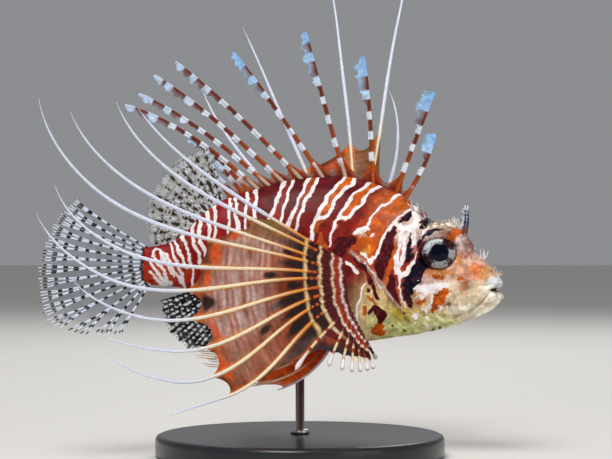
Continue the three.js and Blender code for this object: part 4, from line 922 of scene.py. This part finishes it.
def sheet(grid, half, values):
    """A thin closed solid round a grid of places, with the same named values on both faces."""
    rows, columns = grid.shape[:2]
    normal = np.cross(np.gradient(grid, axis=1), np.gradient(grid, axis=0))
    normal /= np.linalg.norm(normal, axis=2, keepdims=True) + 1e-12
    front = grid + normal * half[..., None]
    rear = grid - normal * half[..., None]
    points = np.concatenate([front.reshape(-1, 3), rear.reshape(-1, 3)])
    offset = rows * columns
    faces = []
    for i in range(rows - 1):
        for k in range(columns - 1):
            a, d = i * columns + k, (i + 1) * columns + k
            faces.append([a, a + 1, d + 1, d])
            faces.append([offset + a, offset + d, offset + d + 1, offset + a + 1])
    rim = [k for k in range(columns - 1)] + [i * columns + columns - 1 for i in range(rows - 1)]
    rim += [(rows - 1) * columns + k for k in range(columns - 1, 0, -1)]
    rim += [i * columns for i in range(rows - 1, 0, -1)]
    for a, b in zip(rim, rim[1:] + rim[:1]):
        faces.append([a, offset + a, offset + b, b])
    flat = {key: v.reshape(offset, *v.shape[2:]) for key, v in values.items()}
    return points, faces, {key: np.concatenate([v, v]) for key, v in flat.items()}


def film(name, roughness):
    """A thin membrane with pigment clouded 1.5 mm across, as clear as the piece's own cover says."""
    material, tree, shader = finish(name, roughness)
    own_paint(tree, shader, grain_grey(tree, noise(tree, object_place(tree), 1.54, 5), 0.72, 1.22))
    tree.links.new(painted(tree, "cover").outputs["Fac"], shader.inputs["Alpha"])
    return material


bar_paint = satin_paint("painted_resin_spines", 0.4, 0.25)
flag_film = film("tinted_resin_spine_flags", 0.42)
rng = np.random.default_rng(7)
spine_paths, spine_radii, spine_paints, flags = [], [], [], []
rays = []
for i, x in enumerate(SPINE_FOOT_X):
    root = on_middle(x, float(section(x)[0]) - ROOT_SINK)
    path = ray_path(root, SPINE_LENGTH[i] + ROOT_SINK, SPINE_START[i], SPINE_END[i], late=1.5,
                    spread=SPINE_LEAN[i], steps=180)
    rays.append(path)
    s = np.linspace(0, 1, len(path))
    mm = s * SPINE_LENGTH[i]
    phase = rng.uniform(0, 1)
    wave = np.sin((mm / BAND_LENGTH + 0.09 * ripple(mm[:, None], 26, i) + phase) * 2 * math.pi)
    pale_share = soft(wave, 0.1, 0.45) * soft(mm, 4, 9)
    pale_share = np.maximum(pale_share, soft(mm, SPINE_LENGTH[i] - 4.2, SPINE_LENGTH[i] - 3.2))
    brown = mixed(EMBER, BROWN, soft(s, 0.1, 0.6))
    chalk = mixed(ICE, BLUE, soft(s, 0.55, 0.95) * (0.9 if i < 5 else 0.35))
    colour = mixed(brown, chalk, pale_share)
    spine_paths.append(path)
    thick = 1.0 if SPINE_LENGTH[i] > 20 else 0.75
    spine_radii.append(thick * (0.78 + (0.24 - 0.78) * s) * (1 - 0.6 * soft(s, 0.96, 1.0)))
    tangent = np.gradient(path, axis=0)
    tangent /= np.linalg.norm(tangent, axis=1, keepdims=True)
    lean = np.radians(SPINE_LEAN[i])
    rearward = np.cross([0, math.cos(lean), -math.sin(lean)], tangent)
    rearward /= np.linalg.norm(rearward, axis=1, keepdims=True)
    if np.mean(rearward[:, 0]) > 0:
        rearward = -rearward
    v = np.linspace(0, 1, FLAG_COLUMNS)[None, :]
    frayed = 1 + 0.24 * ripple(mm[:, None], 4.2, 40 + i) * soft(s, 0.5, 0.7)
    frayed += 0.07 * ripple(mm[:, None], 1.3, 60 + i)
    swell = np.sin(math.pi * np.clip((s - 0.62) / 0.45, 0, 1))
    width = (SPINE_EDGE + 0.6 + 0.3 * pale_share + SPINE_FLAG[i] * swell * 1.05) * np.clip(frayed, 0.4, 1.3)
    width = np.maximum(width * (1 - 0.5 * soft(s, 0.97, 1)), 0.3)
    curl = swell[:, None] * 0.5 * np.sin(v * 3 + i) * (1.0 if i < 5 else 0.4)
    grid = path[:, None, :] + rearward[:, None, :] * (width[:, None] * v)[..., None]
    grid = grid + np.array([0, 1, 0]) * (curl * v)[..., None]
    flag_colour = np.repeat(colour[:, None, :], FLAG_COLUMNS, 1)
    if 2 < i < 9:
        # The pale lines of the back run on up the spine's front
        colour = mixed(colour, "#cdbcae", 0.85 * (1 - soft(mm, 5, 9)))
    tint = srgb("#b8def8") * (1 + 0.22 * np.sin(mm * 2 * math.pi / 0.8))[:, None, None]
    tinted = np.clip(v * swell[:, None] * (1.1 if i < 5 else 0.4), 0, 1)
    flag_colour = mixed(flag_colour, tint, tinted * 0.85)
    cover = 0.95 - 0.35 * v * np.ones((len(s), 1))
    flags.append(sheet(grid, np.full(cover.shape, FLAG_HALF), {"paint": flag_colour, "cover": cover}))
    spine_paints.append(colour)
spines = tubes("dorsal_spines", spine_paths, spine_radii, spine_paints, bar_paint, 10)
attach(spines, "root")
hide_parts("dorsal_fin_spiny")
spine_flags = piece("dorsal_spine_flags", flags, flag_film)
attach(spine_flags, "root")


def web_reach(length):
    """The share of a spine that the web climbs."""
    return 1.35 * (SPINE_WEB + 3 / length if length > 20 else 0.5)


webs = []
v = np.linspace(0, 1, 15)[None, :]
u = np.linspace(0, 1, 26)[:, None]
dip = 1 - 0.68 * (4 * v * (1 - v)) ** 0.7
for i in range(len(rays) - 1):
    share = u * dip * (web_reach(SPINE_LENGTH[i]) * (1 - v) + web_reach(SPINE_LENGTH[i + 1]) * v)
    first, second = along(rays[i], share), along(rays[i + 1], share)
    grid = mixed(first, second, v)
    paint = mixed("#74201a", "#b4561a", soft(u * np.ones_like(v), 0.25, 1))
    paint = mixed(paint, "#8d8a86", soft(v, 0.25, 0.5) * soft(1 - v, 0.25, 0.5) * soft(u, 0.4, 0.8) * 0.75)
    cover = 0.98 - 0.45 * soft(u, 0.35, 1) * soft(v, 0.1, 0.5) * soft(1 - v, 0.1, 0.5)
    webs.append(sheet(grid, np.full(cover.shape, WEB_HALF), {"paint": paint, "cover": cover}))
spine_web = piece("dorsal_spine_web", webs, flag_film)
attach(spine_web, "root")


# Soft dorsal, anal and tail fins: clear cast film over fine branching rays, both banded in white
# and near black. Each fan is set along the body's middle line.
RAY_PALE, RAY_DARK = "#e4ebf8", "#1e1a20"
FILM_COLUMNS, FILM_HALF = 13, 0.07
# A fan's feet, heights, lengths, starts, turns and spreads are read between its first and last ray.
# Smoke is the film's colour and cover, and dots are the spots' colour, half width and distance.
FANS = {
    "dorsal_fin_soft": {
        "count": 12, "feet": [-27.4, -31, -35.5, -40], "heights": [90.2, 87.6, 83.6, 79],
        "lengths": [22, 24, 21, 14], "starts": [78, 52, 24, -14], "turns": [-8, -4, -8, -20],
        "spreads": [6, 5, 2, -2], "thick": 0.24, "smoke": ("#dcdad4", 0.42), "band": 1.45,
        "dots": ("#40322a", 0.62, 3.1), "deep": 0.1, "bright": -0.6, "drift": 0.42, "blur": 0.3,
    },
    "anal_fin": {
        "count": 9, "feet": [-21, -27, -33, -38], "heights": [50.5, 52.5, 56.5, 60],
        "lengths": [15, 20, 19, 13], "starts": [-66, -52, -38, -20], "turns": [10, 6, 2, 6],
        "spreads": [-2, 0, 4, 8], "thick": 0.24, "smoke": ("#12141d", 0.86), "band": 1.2,
        "dots": ("#f0f4fb", 0.46, 2.05), "deep": 0.08, "bright": 0.75, "drift": 0.1, "blur": 0.1,
    },
    "caudal_fin": {
        "count": 14, "feet": [-53, -54, -54, -54, -53], "heights": [74.2, 71.4, 68.4, 65.4, 63],
        "lengths": [34, 38, 42, 44, 24], "starts": [30, 12, -6, -26, -60], "turns": [12, 10, 2, 4, -4],
        "spreads": [16, 20, 24, 28, 30], "thick": 0.5, "smoke": ("#98a0b2", 0.16), "band": 2.0,
        "dots": ("#e6ecf6", 0.0, 2.0), "deep": 0.16, "bright": -0.5, "drift": 0.1, "blur": 0.1,
    },
}


def pick(values, share):
    """A value at a share of the way through a short list."""
    return float(np.interp(share * (len(values) - 1), np.arange(len(values)), values))


def across_gap(columns, whole):
    """Steps from one ray to the next, whose last is left to the following gap unless it is whole."""
    steps = np.linspace(0, 1, columns)[None, :]
    return steps if whole else steps[:, :-1]


ray_paint = satin_paint("painted_resin_fin_rays", 0.4, 0.2)
clear_film = film("clear_banded_fin_film", 0.3)
for fan_name, fan in FANS.items():
    rng = np.random.default_rng(len(fan_name))
    rays, lengths = [], []
    for i in range(fan["count"]):
        share = i / (fan["count"] - 1)
        x = pick(fan["feet"], share)
        start = pick(fan["starts"], share)
        length = pick(fan["lengths"], share)
        root = on_middle(x, pick(fan["heights"], share))
        rays.append(ray_path(root, length, start, start + pick(fan["turns"], share), late=1.5,
                             spread=pick(fan["spreads"], share), side=-1, steps=90))
        lengths.append(length)
    last = fan["count"] - 1
    # Branches lean towards their neighbours: start share, first and second lean
    paths, radii, paints = [], [], []
    for i, path in enumerate(rays):
        phase = rng.uniform(0, 1)
        for begin, first, second in ((0.0, 1, 1), (0.38, -1, 1), (0.66, 1, -1), (0.66, -1, -1)):
            s = np.linspace(begin, rng.uniform(0.95, 0.99), 80)
            lean = 0.24 * first * soft(s, 0.36, 1.0) + 0.12 * second * soft(s, 0.64, 1.0)
            other = rays[min(i + 1, last)] if first > 0 else rays[max(i - 1, 0)]
            if (i == 0 and first < 0) or (i == last and first > 0):
                lean = lean * 0
            mm = s * lengths[i]
            wave = np.sin((mm / fan["band"] + phase * 0.5) * math.pi + 0.4 * ripple(mm[:, None], 5, i + 3))
            paths.append(mixed(along(path, s), along(other, s), np.abs(lean)))
            radii.append(fan["thick"] * (1 - 0.55 * s) * (1 - 0.3 * soft(s, 0.9, 1)))
            paints.append(mixed(RAY_DARK, RAY_PALE, soft(wave, fan["bright"], fan["bright"] + 0.3)))
    fan_rays = tubes(fan_name + "_rays", paths, radii, paints, ray_paint, 6)
    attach(fan_rays, "root")
    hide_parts(fan_name)
    grids, gaps = [], []
    u = np.linspace(0, 0.97, 110)[:, None]
    for i in range(last):
        v = across_gap(FILM_COLUMNS, i == last - 1)
        pull = u * (1 - fan["deep"] * (4 * v * (1 - v)) ** 0.7 * u)
        first, second = along(rays[i], pull), along(rays[i + 1], pull)
        grids.append(mixed(first, second, v))
        gaps.append(np.linalg.norm(second - first, axis=2))
    grid, gap = np.concatenate(grids, 1), np.concatenate(gaps, 1)
    grid = grid + np.array([0, 1, 0]) * (0.25 * ripple(grid, 9, 2) * u)[..., None]
    column_place = np.arange(grid.shape[1])[None, :] / (FILM_COLUMNS - 1) * np.ones(gap.shape)
    mm = u * np.interp(column_place, np.arange(fan["count"]), lengths)
    # Round spots in staggered rows
    dot_colour, dot_half, dot_pitch = fan["dots"]
    lanes = np.maximum(np.round(gap / dot_pitch), 1)
    lane = column_place * lanes
    beside = (lane % 1 - 0.5) * gap / lanes
    shifted = 0.5 * (np.floor(lane) % 2) + fan["drift"] * ripple(grid, 7, 8)
    before = ((mm / dot_pitch + shifted) % 1 - 0.5) * dot_pitch
    size = dot_half * (1 + 0.3 * ripple(grid, 4, 12) + fan["drift"] * ripple(grid, 1.6, 23))
    far = np.hypot(beside, before * (0.62 - fan["blur"] * 0.4))
    dotted = 1 - soft(far, size * (0.9 - fan["blur"]), size * (1 + fan["blur"]) + 1e-3)
    smoke, cover = fan["smoke"]
    cloudy = 0.5 + 0.5 * np.clip(ripple(grid, 6, 15), -1, 1)
    paint = mixed(smoke, srgb(smoke) * 0.7, cloudy)
    paint = mixed(paint, dot_colour, dotted)
    hide = cover * (0.8 + 0.4 * cloudy) + (0.93 - cover) * dotted
    hide = np.clip(hide + 0.25 * (1 - soft(mm, 0, 5)), 0, 1)
    solid = sheet(grid, np.full(mm.shape, FILM_HALF), {"paint": paint, "cover": hide})
    web = piece(fan_name + "_film", [solid], clear_film)
    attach(web, "root")


# Pelvic fins: a violet-white spine and five branched rays under orange-red skin, swept back below
# the belly on each side of the rod.
PELVIC_X, PELVIC_Z = 12.5, 43.2
PELVIC_LENGTH = [30, 40, 45, 47, 48, 46]
PELVIC_START = [-70, -58, -44, -32, -22, -12]
PELVIC_TURN = [56, 62, 52, 40, 28, 16]
PELVIC_WEB = [0.94, 0.86, 0.86, 0.86, 0.86, 0.86]
fin_film = film("tinted_resin_fin_skin", 0.42)


def web_grid(rays, web_share, rows, columns, scallop):
    """The membrane between rays: its places, ray number, share of the ray and share of the membrane."""
    grids, numbers, shares, reached = [], [], [], []
    u = np.linspace(0, 1, rows)[:, None]
    last = len(rays) - 1
    for i in range(last):
        v = across_gap(columns + 1, i == last - 1)
        pull = u * (1 - scallop[i] * (4 * v * (1 - v)) ** 0.75 * u)
        share = [pull * web_share[i], pull * web_share[i + 1]]
        first, second = along(rays[i], share[0]), along(rays[i + 1], share[1])
        grids.append(mixed(first, second, v))
        numbers.append(i + v * np.ones_like(u))
        shares.append(share[0] * (1 - v) + share[1] * v)
        reached.append(pull * np.ones_like(v))
    return tuple(np.concatenate(part, 1) for part in (grids, numbers, shares, reached))


for side, label in ((-1, "right"), (1, "left")):
    rays = []
    for i, length in enumerate(PELVIC_LENGTH):
        root = flank(PELVIC_X - 0.9 * i, PELVIC_Z, side, ROOT_SINK)
        rays.append(ray_path(root, length, PELVIC_START[i], PELVIC_START[i] + PELVIC_TURN[i], late=1,
                             spread=16 - i, side=side))
    grid, number_of, share_of, reached_of = web_grid(rays, PELVIC_WEB, 90, 14, [0.1] * 5)
    to_ray = np.abs(number_of - np.round(number_of))
    paint = mixed("#d84414", "#f4792a", soft(reached_of, 0.1, 0.9))
    paint = mixed(paint, "#a8341e", 0.45 * soft(ripple(grid, 5, 21), 0, 1))
    paint = mixed(paint, "#e8905a", 0.7 * (1 - soft(to_ray, 0.05, 0.22)))
    paint = mixed(paint, "#d9b8a8", 0.7 * soft(reached_of, 0.9, 1.0))
    cover = 0.97 - 0.25 * soft(reached_of, 0.5, 1.0)
    half_mm = 0.1 + 0.12 * (1 - soft(to_ray, 0.03, 0.18))
    web = piece(f"pelvic_web_{label}", [sheet(grid, half_mm, {"paint": paint, "cover": cover})], fin_film)
    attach(web, "root")
    paths, radii, paints = [], [], []
    for i, path in enumerate(rays):
        for lean in ((0.0,) if i == 0 else (0.13, -0.13)):
            s = np.linspace(0, 1, 90)
            other = rays[min(i + 1, 5)] if lean > 0 else rays[max(i - 1, 0)]
            paths.append(mixed(along(path, s), along(other, s), np.abs(lean) * soft(s, 0.35, 1.0)))
            radii.append((0.62 if i == 0 else 0.46) * (1 - 0.62 * s) * (1 - 0.5 * soft(s, 0.97, 1)))
            foot, tip = ("#e2c8dc", "#ece4f0") if i == 0 else ("#dc6420", "#f8e0c4")
            paints.append(mixed(foot, tip, soft(s, 0.05, 0.7)))
    bars = tubes(f"pelvic_rays_{label}", paths, radii, paints, ray_paint, 8)
    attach(bars, "root")
    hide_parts(f"pelvic_fin_{label}")


# Pectoral fins: seventeen rays on a fleshy banded foot behind the gill cover. The upper ten run on
# as white threads past the web, the lower seven are stout, banded and end in a pale knob.
PECTORAL_TOP, PECTORAL_LOW = (17.5, 69.0), (22.0, 45.5)
PECTORAL_WEB = [0.36, 0.43, 0.41, 0.42, 0.5, 0.52, 0.6, 0.63, 0.61, 0.72, 0.84, 0.8, 0.78,
                0.76, 0.76, 0.76, 0.76]
THREADS = 10
# Millimetres from the root between which the foot's bands fade, on the web, threads and stout rays
WEB_FOOT_END, THREAD_FOOT_END, STOUT_FOOT_END = (19.2, 20.4), (19, 20.4), (10, 12)
POSES = {
    "right": {
        "side": -1,
        "length": [96, 106, 120, 137, 120, 126, 109, 99, 105, 85, 35, 25, 23, 21, 19, 17, 15],
        "start": [31, 29, 22, 20, 14, 12, 5, 1, -3, -11, -42, -60, -71, -80, -88, -96, -104],
        "end": [56, 70, 70, 82, 74, 68, 54, 30, 45, -20, -58, -74, -84, -92, -100, -108, -116],
        "sag": [0, 4, 4, 9, 13, 20, 22, 30, 38, 37, 0, 0, 0, 0, 0, 0, 0],
        "late": [3.5, 4, 4, 3.5, 5, 4.5, 5.5, 6, 4, 2.5, 2, 2, 2, 2, 2, 2, 2],
        "spread": [24, 27, 29, 31, 33, 34, 34, 34, 33, 32, 30, 28, 26, 24, 22, 21, 20],
        "settle": [12, 12, 12, 12, 12, 12, 12, 12, 12, 14, 26, 24, 22, 20, 18, 17, 16],
    },
    "left": {
        "side": 1,
        "length": [71, 135, 132, 125, 120, 108, 100, 94, 92, 80, 34, 21, 18, 17, 16, 15, 14],
        "start": [122, 112, 100, 70, 48, 30, 15, 3, -8, -20, -36, -52, -66, -80, -92, -104, -115],
        "end": [67, 99, 79, 65, 71, 56, 44, 34, 26, 8, -44, -62, -78, -92, -104, -114, -124],
        "sag": [0, 8, 6, 3, 0, 4, 6, 8, 10, 10, 0, 0, 0, 0, 0, 0, 0],
        "late": [2, 1, 1, 2.5, 4.5, 4, 4, 4, 4, 4, 2, 2, 2, 2, 2, 2, 2],
        "spread": [16, 24, 30, 38, 42, 46, 50, 52, 52, 50, 46, 42, 37, 33, 30, 27, 25],
        "settle": [10, 14, 20, 28, 34, 36, 36, 36, 36, 36, 40, 36, 32, 28, 26, 24, 22],
    },
}
# Dark spots of the web: ray number, millimetres from the root, half size along and across the rays
WEB_SPOTS = [(1.5, 19, 2.6, 0.2), (2.45, 26, 2.6, 0.26), (4.5, 33, 3.0, 0.32), (5.5, 57, 2.6, 0.3),
             (7.5, 26, 2.6, 0.26), (7.4, 38.5, 2.6, 0.3), (8.5, 27, 3.4, 0.34), (5.5, 24, 3.2, 0.3),
             (3.5, 20, 2.2, 0.24), (6.5, 23, 3.0, 0.3)]
# Bands of the fleshy foot: where each ends in millimetres from the root, and its colour
FOOT_BANDS = [(3.9, "#701418"), (5.1, "#e6d2d0"), (7.4, "#a83a1c"), (8.5, "#ecd0b8"), (12.4, "#641014"),
              (13.8, "#efd2a8"), (18.5, "#3e140e"), (19.5, "#ecc890")]


def foot_colour(mm, ray):
    """The band colour at a distance from the root, with soft wavy borders."""
    moved = mm + 0.3 * np.sin(ray * 2.1) + 0.16 * np.sin(ray * 6.6 + mm * 0.4)
    colour = srgb(FOOT_BANDS[0][1])
    for (end, _), (_, after) in zip(FOOT_BANDS, FOOT_BANDS[1:]):
        colour = mixed(colour, after, soft(moved, end - 0.22, end + 0.22))
    return colour


def knuckles(mm, ray):
    """Where a stout lower ray is pale, in waves about 5 mm long."""
    return np.sin(mm * 1.25 + 0.6 + ray)


count = len(PECTORAL_WEB)
for label, pose in POSES.items():
    side = pose["side"]
    rays = []
    for i in range(count):
        down = i / (count - 1)
        x = PECTORAL_TOP[0] + (PECTORAL_LOW[0] - PECTORAL_TOP[0]) * down ** 2
        z = PECTORAL_TOP[1] + (PECTORAL_LOW[1] - PECTORAL_TOP[1]) * down ** 1.15
        bends = [pose[key][i] for key in ("length", "start", "end", "sag", "late", "spread", "settle")]
        rays.append(ray_path(flank(x, z, side, ROOT_SINK), *bends, side, steps=200))
    rng = np.random.default_rng(19)
    scallop = 0.07 + 0.05 * rng.uniform(-1, 1, count - 1)
    grid, number_of, share_of, reached_of = web_grid(rays, PECTORAL_WEB, 118, 12, scallop)
    length_of = np.interp(number_of, np.arange(count), pose["length"])
    mm = share_of * length_of
    to_ray = np.abs(number_of - np.round(number_of))
    blotch = ripple(np.stack([mm, number_of * 4], 2), 7, 4)
    streak = ripple(np.stack([mm, number_of * 0.4], 2), 2.6, 9)
    cloud = ripple(np.stack([mm, number_of * 6], 2), 15, 61)
    paint = mixed("#7e2e10", "#b4602a", soft(mm, 22, 44) * (0.7 + 0.3 * blotch))
    wedge_end = 27 + 5 * np.sin(np.floor(number_of) * 2.3) + 9 * soft(number_of, 5, 9)
    wedge = 1 - soft(mm - wedge_end * (1 - 1.1 * np.abs(to_ray - 0.5) ** 1.5), -4, 4)
    paint = mixed(paint, "#1c0604", wedge * soft(to_ray, 0.1, 0.24) * 0.93)
    paint = mixed(paint, "#94603e", soft(mm, 30, 40) * soft(cloud, 0.1, 1.3) * 0.8)
    paint = mixed(paint, "#dc6e24", soft(mm, 24, 34) * soft(-cloud, 0.3, 1.4) * 0.75)
    haze = soft(reached_of, 0.42, 0.66) * (1 - soft(reached_of, 0.84, 0.95))
    haze *= np.clip(0.85 + 0.35 * blotch, 0, 1)
    haze *= 0.25 + 0.75 * soft(number_of, 1.4, 2.4) * (1 - soft(number_of, 5.8, 8))
    paint = mixed(paint, mixed("#b47c66", "#e6d4d2", soft(streak, -1.8, 1.9)), haze * 0.95)
    bright = soft(blotch, -0.3, 0.6)
    paint = mixed(paint, "#e0601c", soft(reached_of, 0.84, 0.9) * bright * 0.9)
    paint = mixed(paint, "#4a2c1c", soft(reached_of, 0.9, 0.99) * (1 - 0.8 * bright) * 0.85)
    paint = mixed(paint, "#86703c", (1 - soft(number_of, 0.8, 2.2)) * soft(mm, 24, 34) * 0.85)
    for spot_number, spot_mm, long_half, wide_half in WEB_SPOTS:
        far = np.hypot((mm - spot_mm) / long_half, (number_of - spot_number) / wide_half) + 0.12 * blotch
        paint = mixed(paint, "#240c0a", (1 - soft(far, 0.6, 1.15)) * 0.95)
    paint = mixed(paint, "#e8953c", (1 - soft(to_ray, 0.06, 0.17)) * soft(mm, 19, 22) * 0.8)
    stout = soft(number_of, THREADS - 0.4, THREADS + 0.4)
    fingers = mixed("#741816", "#b0501e", soft(blotch, -0.2, 1.2))
    pale_bars = soft(knuckles(mm, number_of), 0.55, 0.8) * (1 - soft(reached_of, 0.5, 0.7))
    fingers = mixed(fingers, "#ecd0b4", pale_bars)
    paint = mixed(paint, mixed(fingers, "#3c3038", soft(reached_of, 0.66, 0.9)), stout)
    foot = (1 - soft(mm, *WEB_FOOT_END)) * (1 - stout * soft(mm, *STOUT_FOOT_END))
    paint = mixed(paint, foot_colour(mm, number_of), foot)
    cover = np.maximum(0.99 - 0.16 * haze - 0.12 * soft(reached_of, 0.93, 1), foot * 0.99)
    fleshy = 0.9 * np.maximum(0, 1 - share_of / 0.14) ** 2
    half_mm = 0.09 + fleshy + 0.14 * (1 - soft(to_ray, 0.04, 0.16))
    web = piece(f"pectoral_web_{label}", [sheet(grid, half_mm, {"paint": paint, "cover": cover})], fin_film)
    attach(web, "root")
    radii, paints = [], []
    for i, path in enumerate(rays):
        s = np.linspace(0, 1, len(path))
        mm = s * pose["length"][i]
        if i < THREADS:
            radius = 0.64 - 0.12 * soft(mm, 10, 22) + 0.16 * soft(s, 0.2, 0.5) - 0.36 * soft(s, 0.5, 1.0)
            radius = radius * (1 - 0.75 * soft(s, 0.9, 1.0)) * (1 + 0.05 * ripple(mm[:, None], 9, i))
            colour = mixed("#f0a03c", "#fcecc8", soft(mm, 20, 38))
            colour = mixed(colour, "#e6eafa", soft(s, PECTORAL_WEB[i] * 0.75, PECTORAL_WEB[i] * 1.2))
        else:
            knob = 1 + 0.75 * np.exp(-((s - 0.93) / 0.07) ** 2)
            radius = (0.62 - 0.12 * s) * knob * (1 - 0.75 * soft(s, 0.96, 1.0))
            colour = mixed("#b04c20", "#f2d6a4", soft(knuckles(mm, i), -0.75, -0.3))
            colour = mixed(colour, "#f4ecec", soft(s, 0.76, 0.84))
        base_share = 1 - soft(mm, *(THREAD_FOOT_END if i < THREADS else STOUT_FOOT_END))
        banded = foot_colour(mm, np.full(mm.shape, float(i)))
        fleck = ripple(np.stack([mm, np.full(mm.shape, i * 5.0)], 1), 2.6, 77)
        mosaic = soft(mm, 13.6, 14.2) * (1 - soft(mm, 18.3, 18.8)) * soft(fleck, -0.5, 0.2)
        banded = mixed(banded, "#d06a28", mosaic)
        colour = mixed(colour, banded, base_share)
        radii.append(radius)
        paints.append(colour)
    bars = tubes(f"pectoral_rays_{label}", rays, radii, paints, ray_paint, 10)
    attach(bars, "root")
    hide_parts(f"pectoral_fin_{label}")


# Studio: a plain pale floor, a soft key light from the camera's upper left, a wide fill and a
# camera level with the fish, as the photograph was taken.
FLOOR_HALF = 4.0
CAMERA_PLACE = (0.00216, -0.75, 0.08154)
VIEW_WIDTH = 0.22032
FISH_MIDDLE = np.array([0, 0, 0.075])
floor_paint, tree, shader = finish("matt_pale_floor_paint", 0.75)
# Roller texture 4 mm across
roller = noise(tree, object_place(tree), 4, 2)
tree.links.new(blend(tree, roller, rgba("#dcd9d4"), rgba("#e3e0db")), shader.inputs["Base Color"])
corners = np.array([[-1, -1, 0], [1, -1, 0], [1, 1, 0], [-1, 1, 0]], float) * FLOOR_HALF / MM
floor = piece("studio_floor", [(corners, [[0, 1, 2, 3]], {})], floor_paint)

world = bpy.data.worlds.new("pale_studio")
world.use_nodes = True
sky = world.node_tree.nodes["Background"]
sky.inputs["Color"].default_value = rgba("#e4e6ea")
sky.inputs["Strength"].default_value = 0.34
bpy.context.scene.world = world
# Name, place, size and power of each soft lamp, all aimed at the fish
LAMPS = [
    ("key", (-0.2, -0.6, 0.85), 0.4, 7.0),
    ("fill", (0.75, -0.65, 0.3), 0.6, 1.6),
    ("rim", (0.1, 0.8, 0.8), 0.6, 5.0),
]
for name, spot, size, power in LAMPS:
    lamp_data = bpy.data.lights.new(name, "AREA")
    lamp_data.size = size
    lamp_data.energy = power
    lamp = bpy.data.objects.new(name, lamp_data)
    bpy.context.scene.collection.objects.link(lamp)
    aim = FISH_MIDDLE - np.array(spot)
    lamp.location = spot
    yaw = math.atan2(aim[1], aim[0]) - math.pi / 2
    tilt = math.atan2(math.hypot(aim[0], aim[1]), -aim[2])
    lamp.rotation_euler = (tilt, 0, yaw)

camera_data = bpy.data.cameras.new("camera")
camera_data.sensor_width = 36
camera_data.lens = camera_data.sensor_width * -CAMERA_PLACE[1] / VIEW_WIDTH
camera_data.clip_start = 0.05
camera_data.clip_end = 30
camera = bpy.data.objects.new("camera", camera_data)
bpy.context.scene.collection.objects.link(camera)
camera.location = CAMERA_PLACE
camera.rotation_euler = (math.pi / 2, 0, 0)
bpy.context.scene.camera = camera
bpy.context.scene.view_settings.view_transform = "Standard"
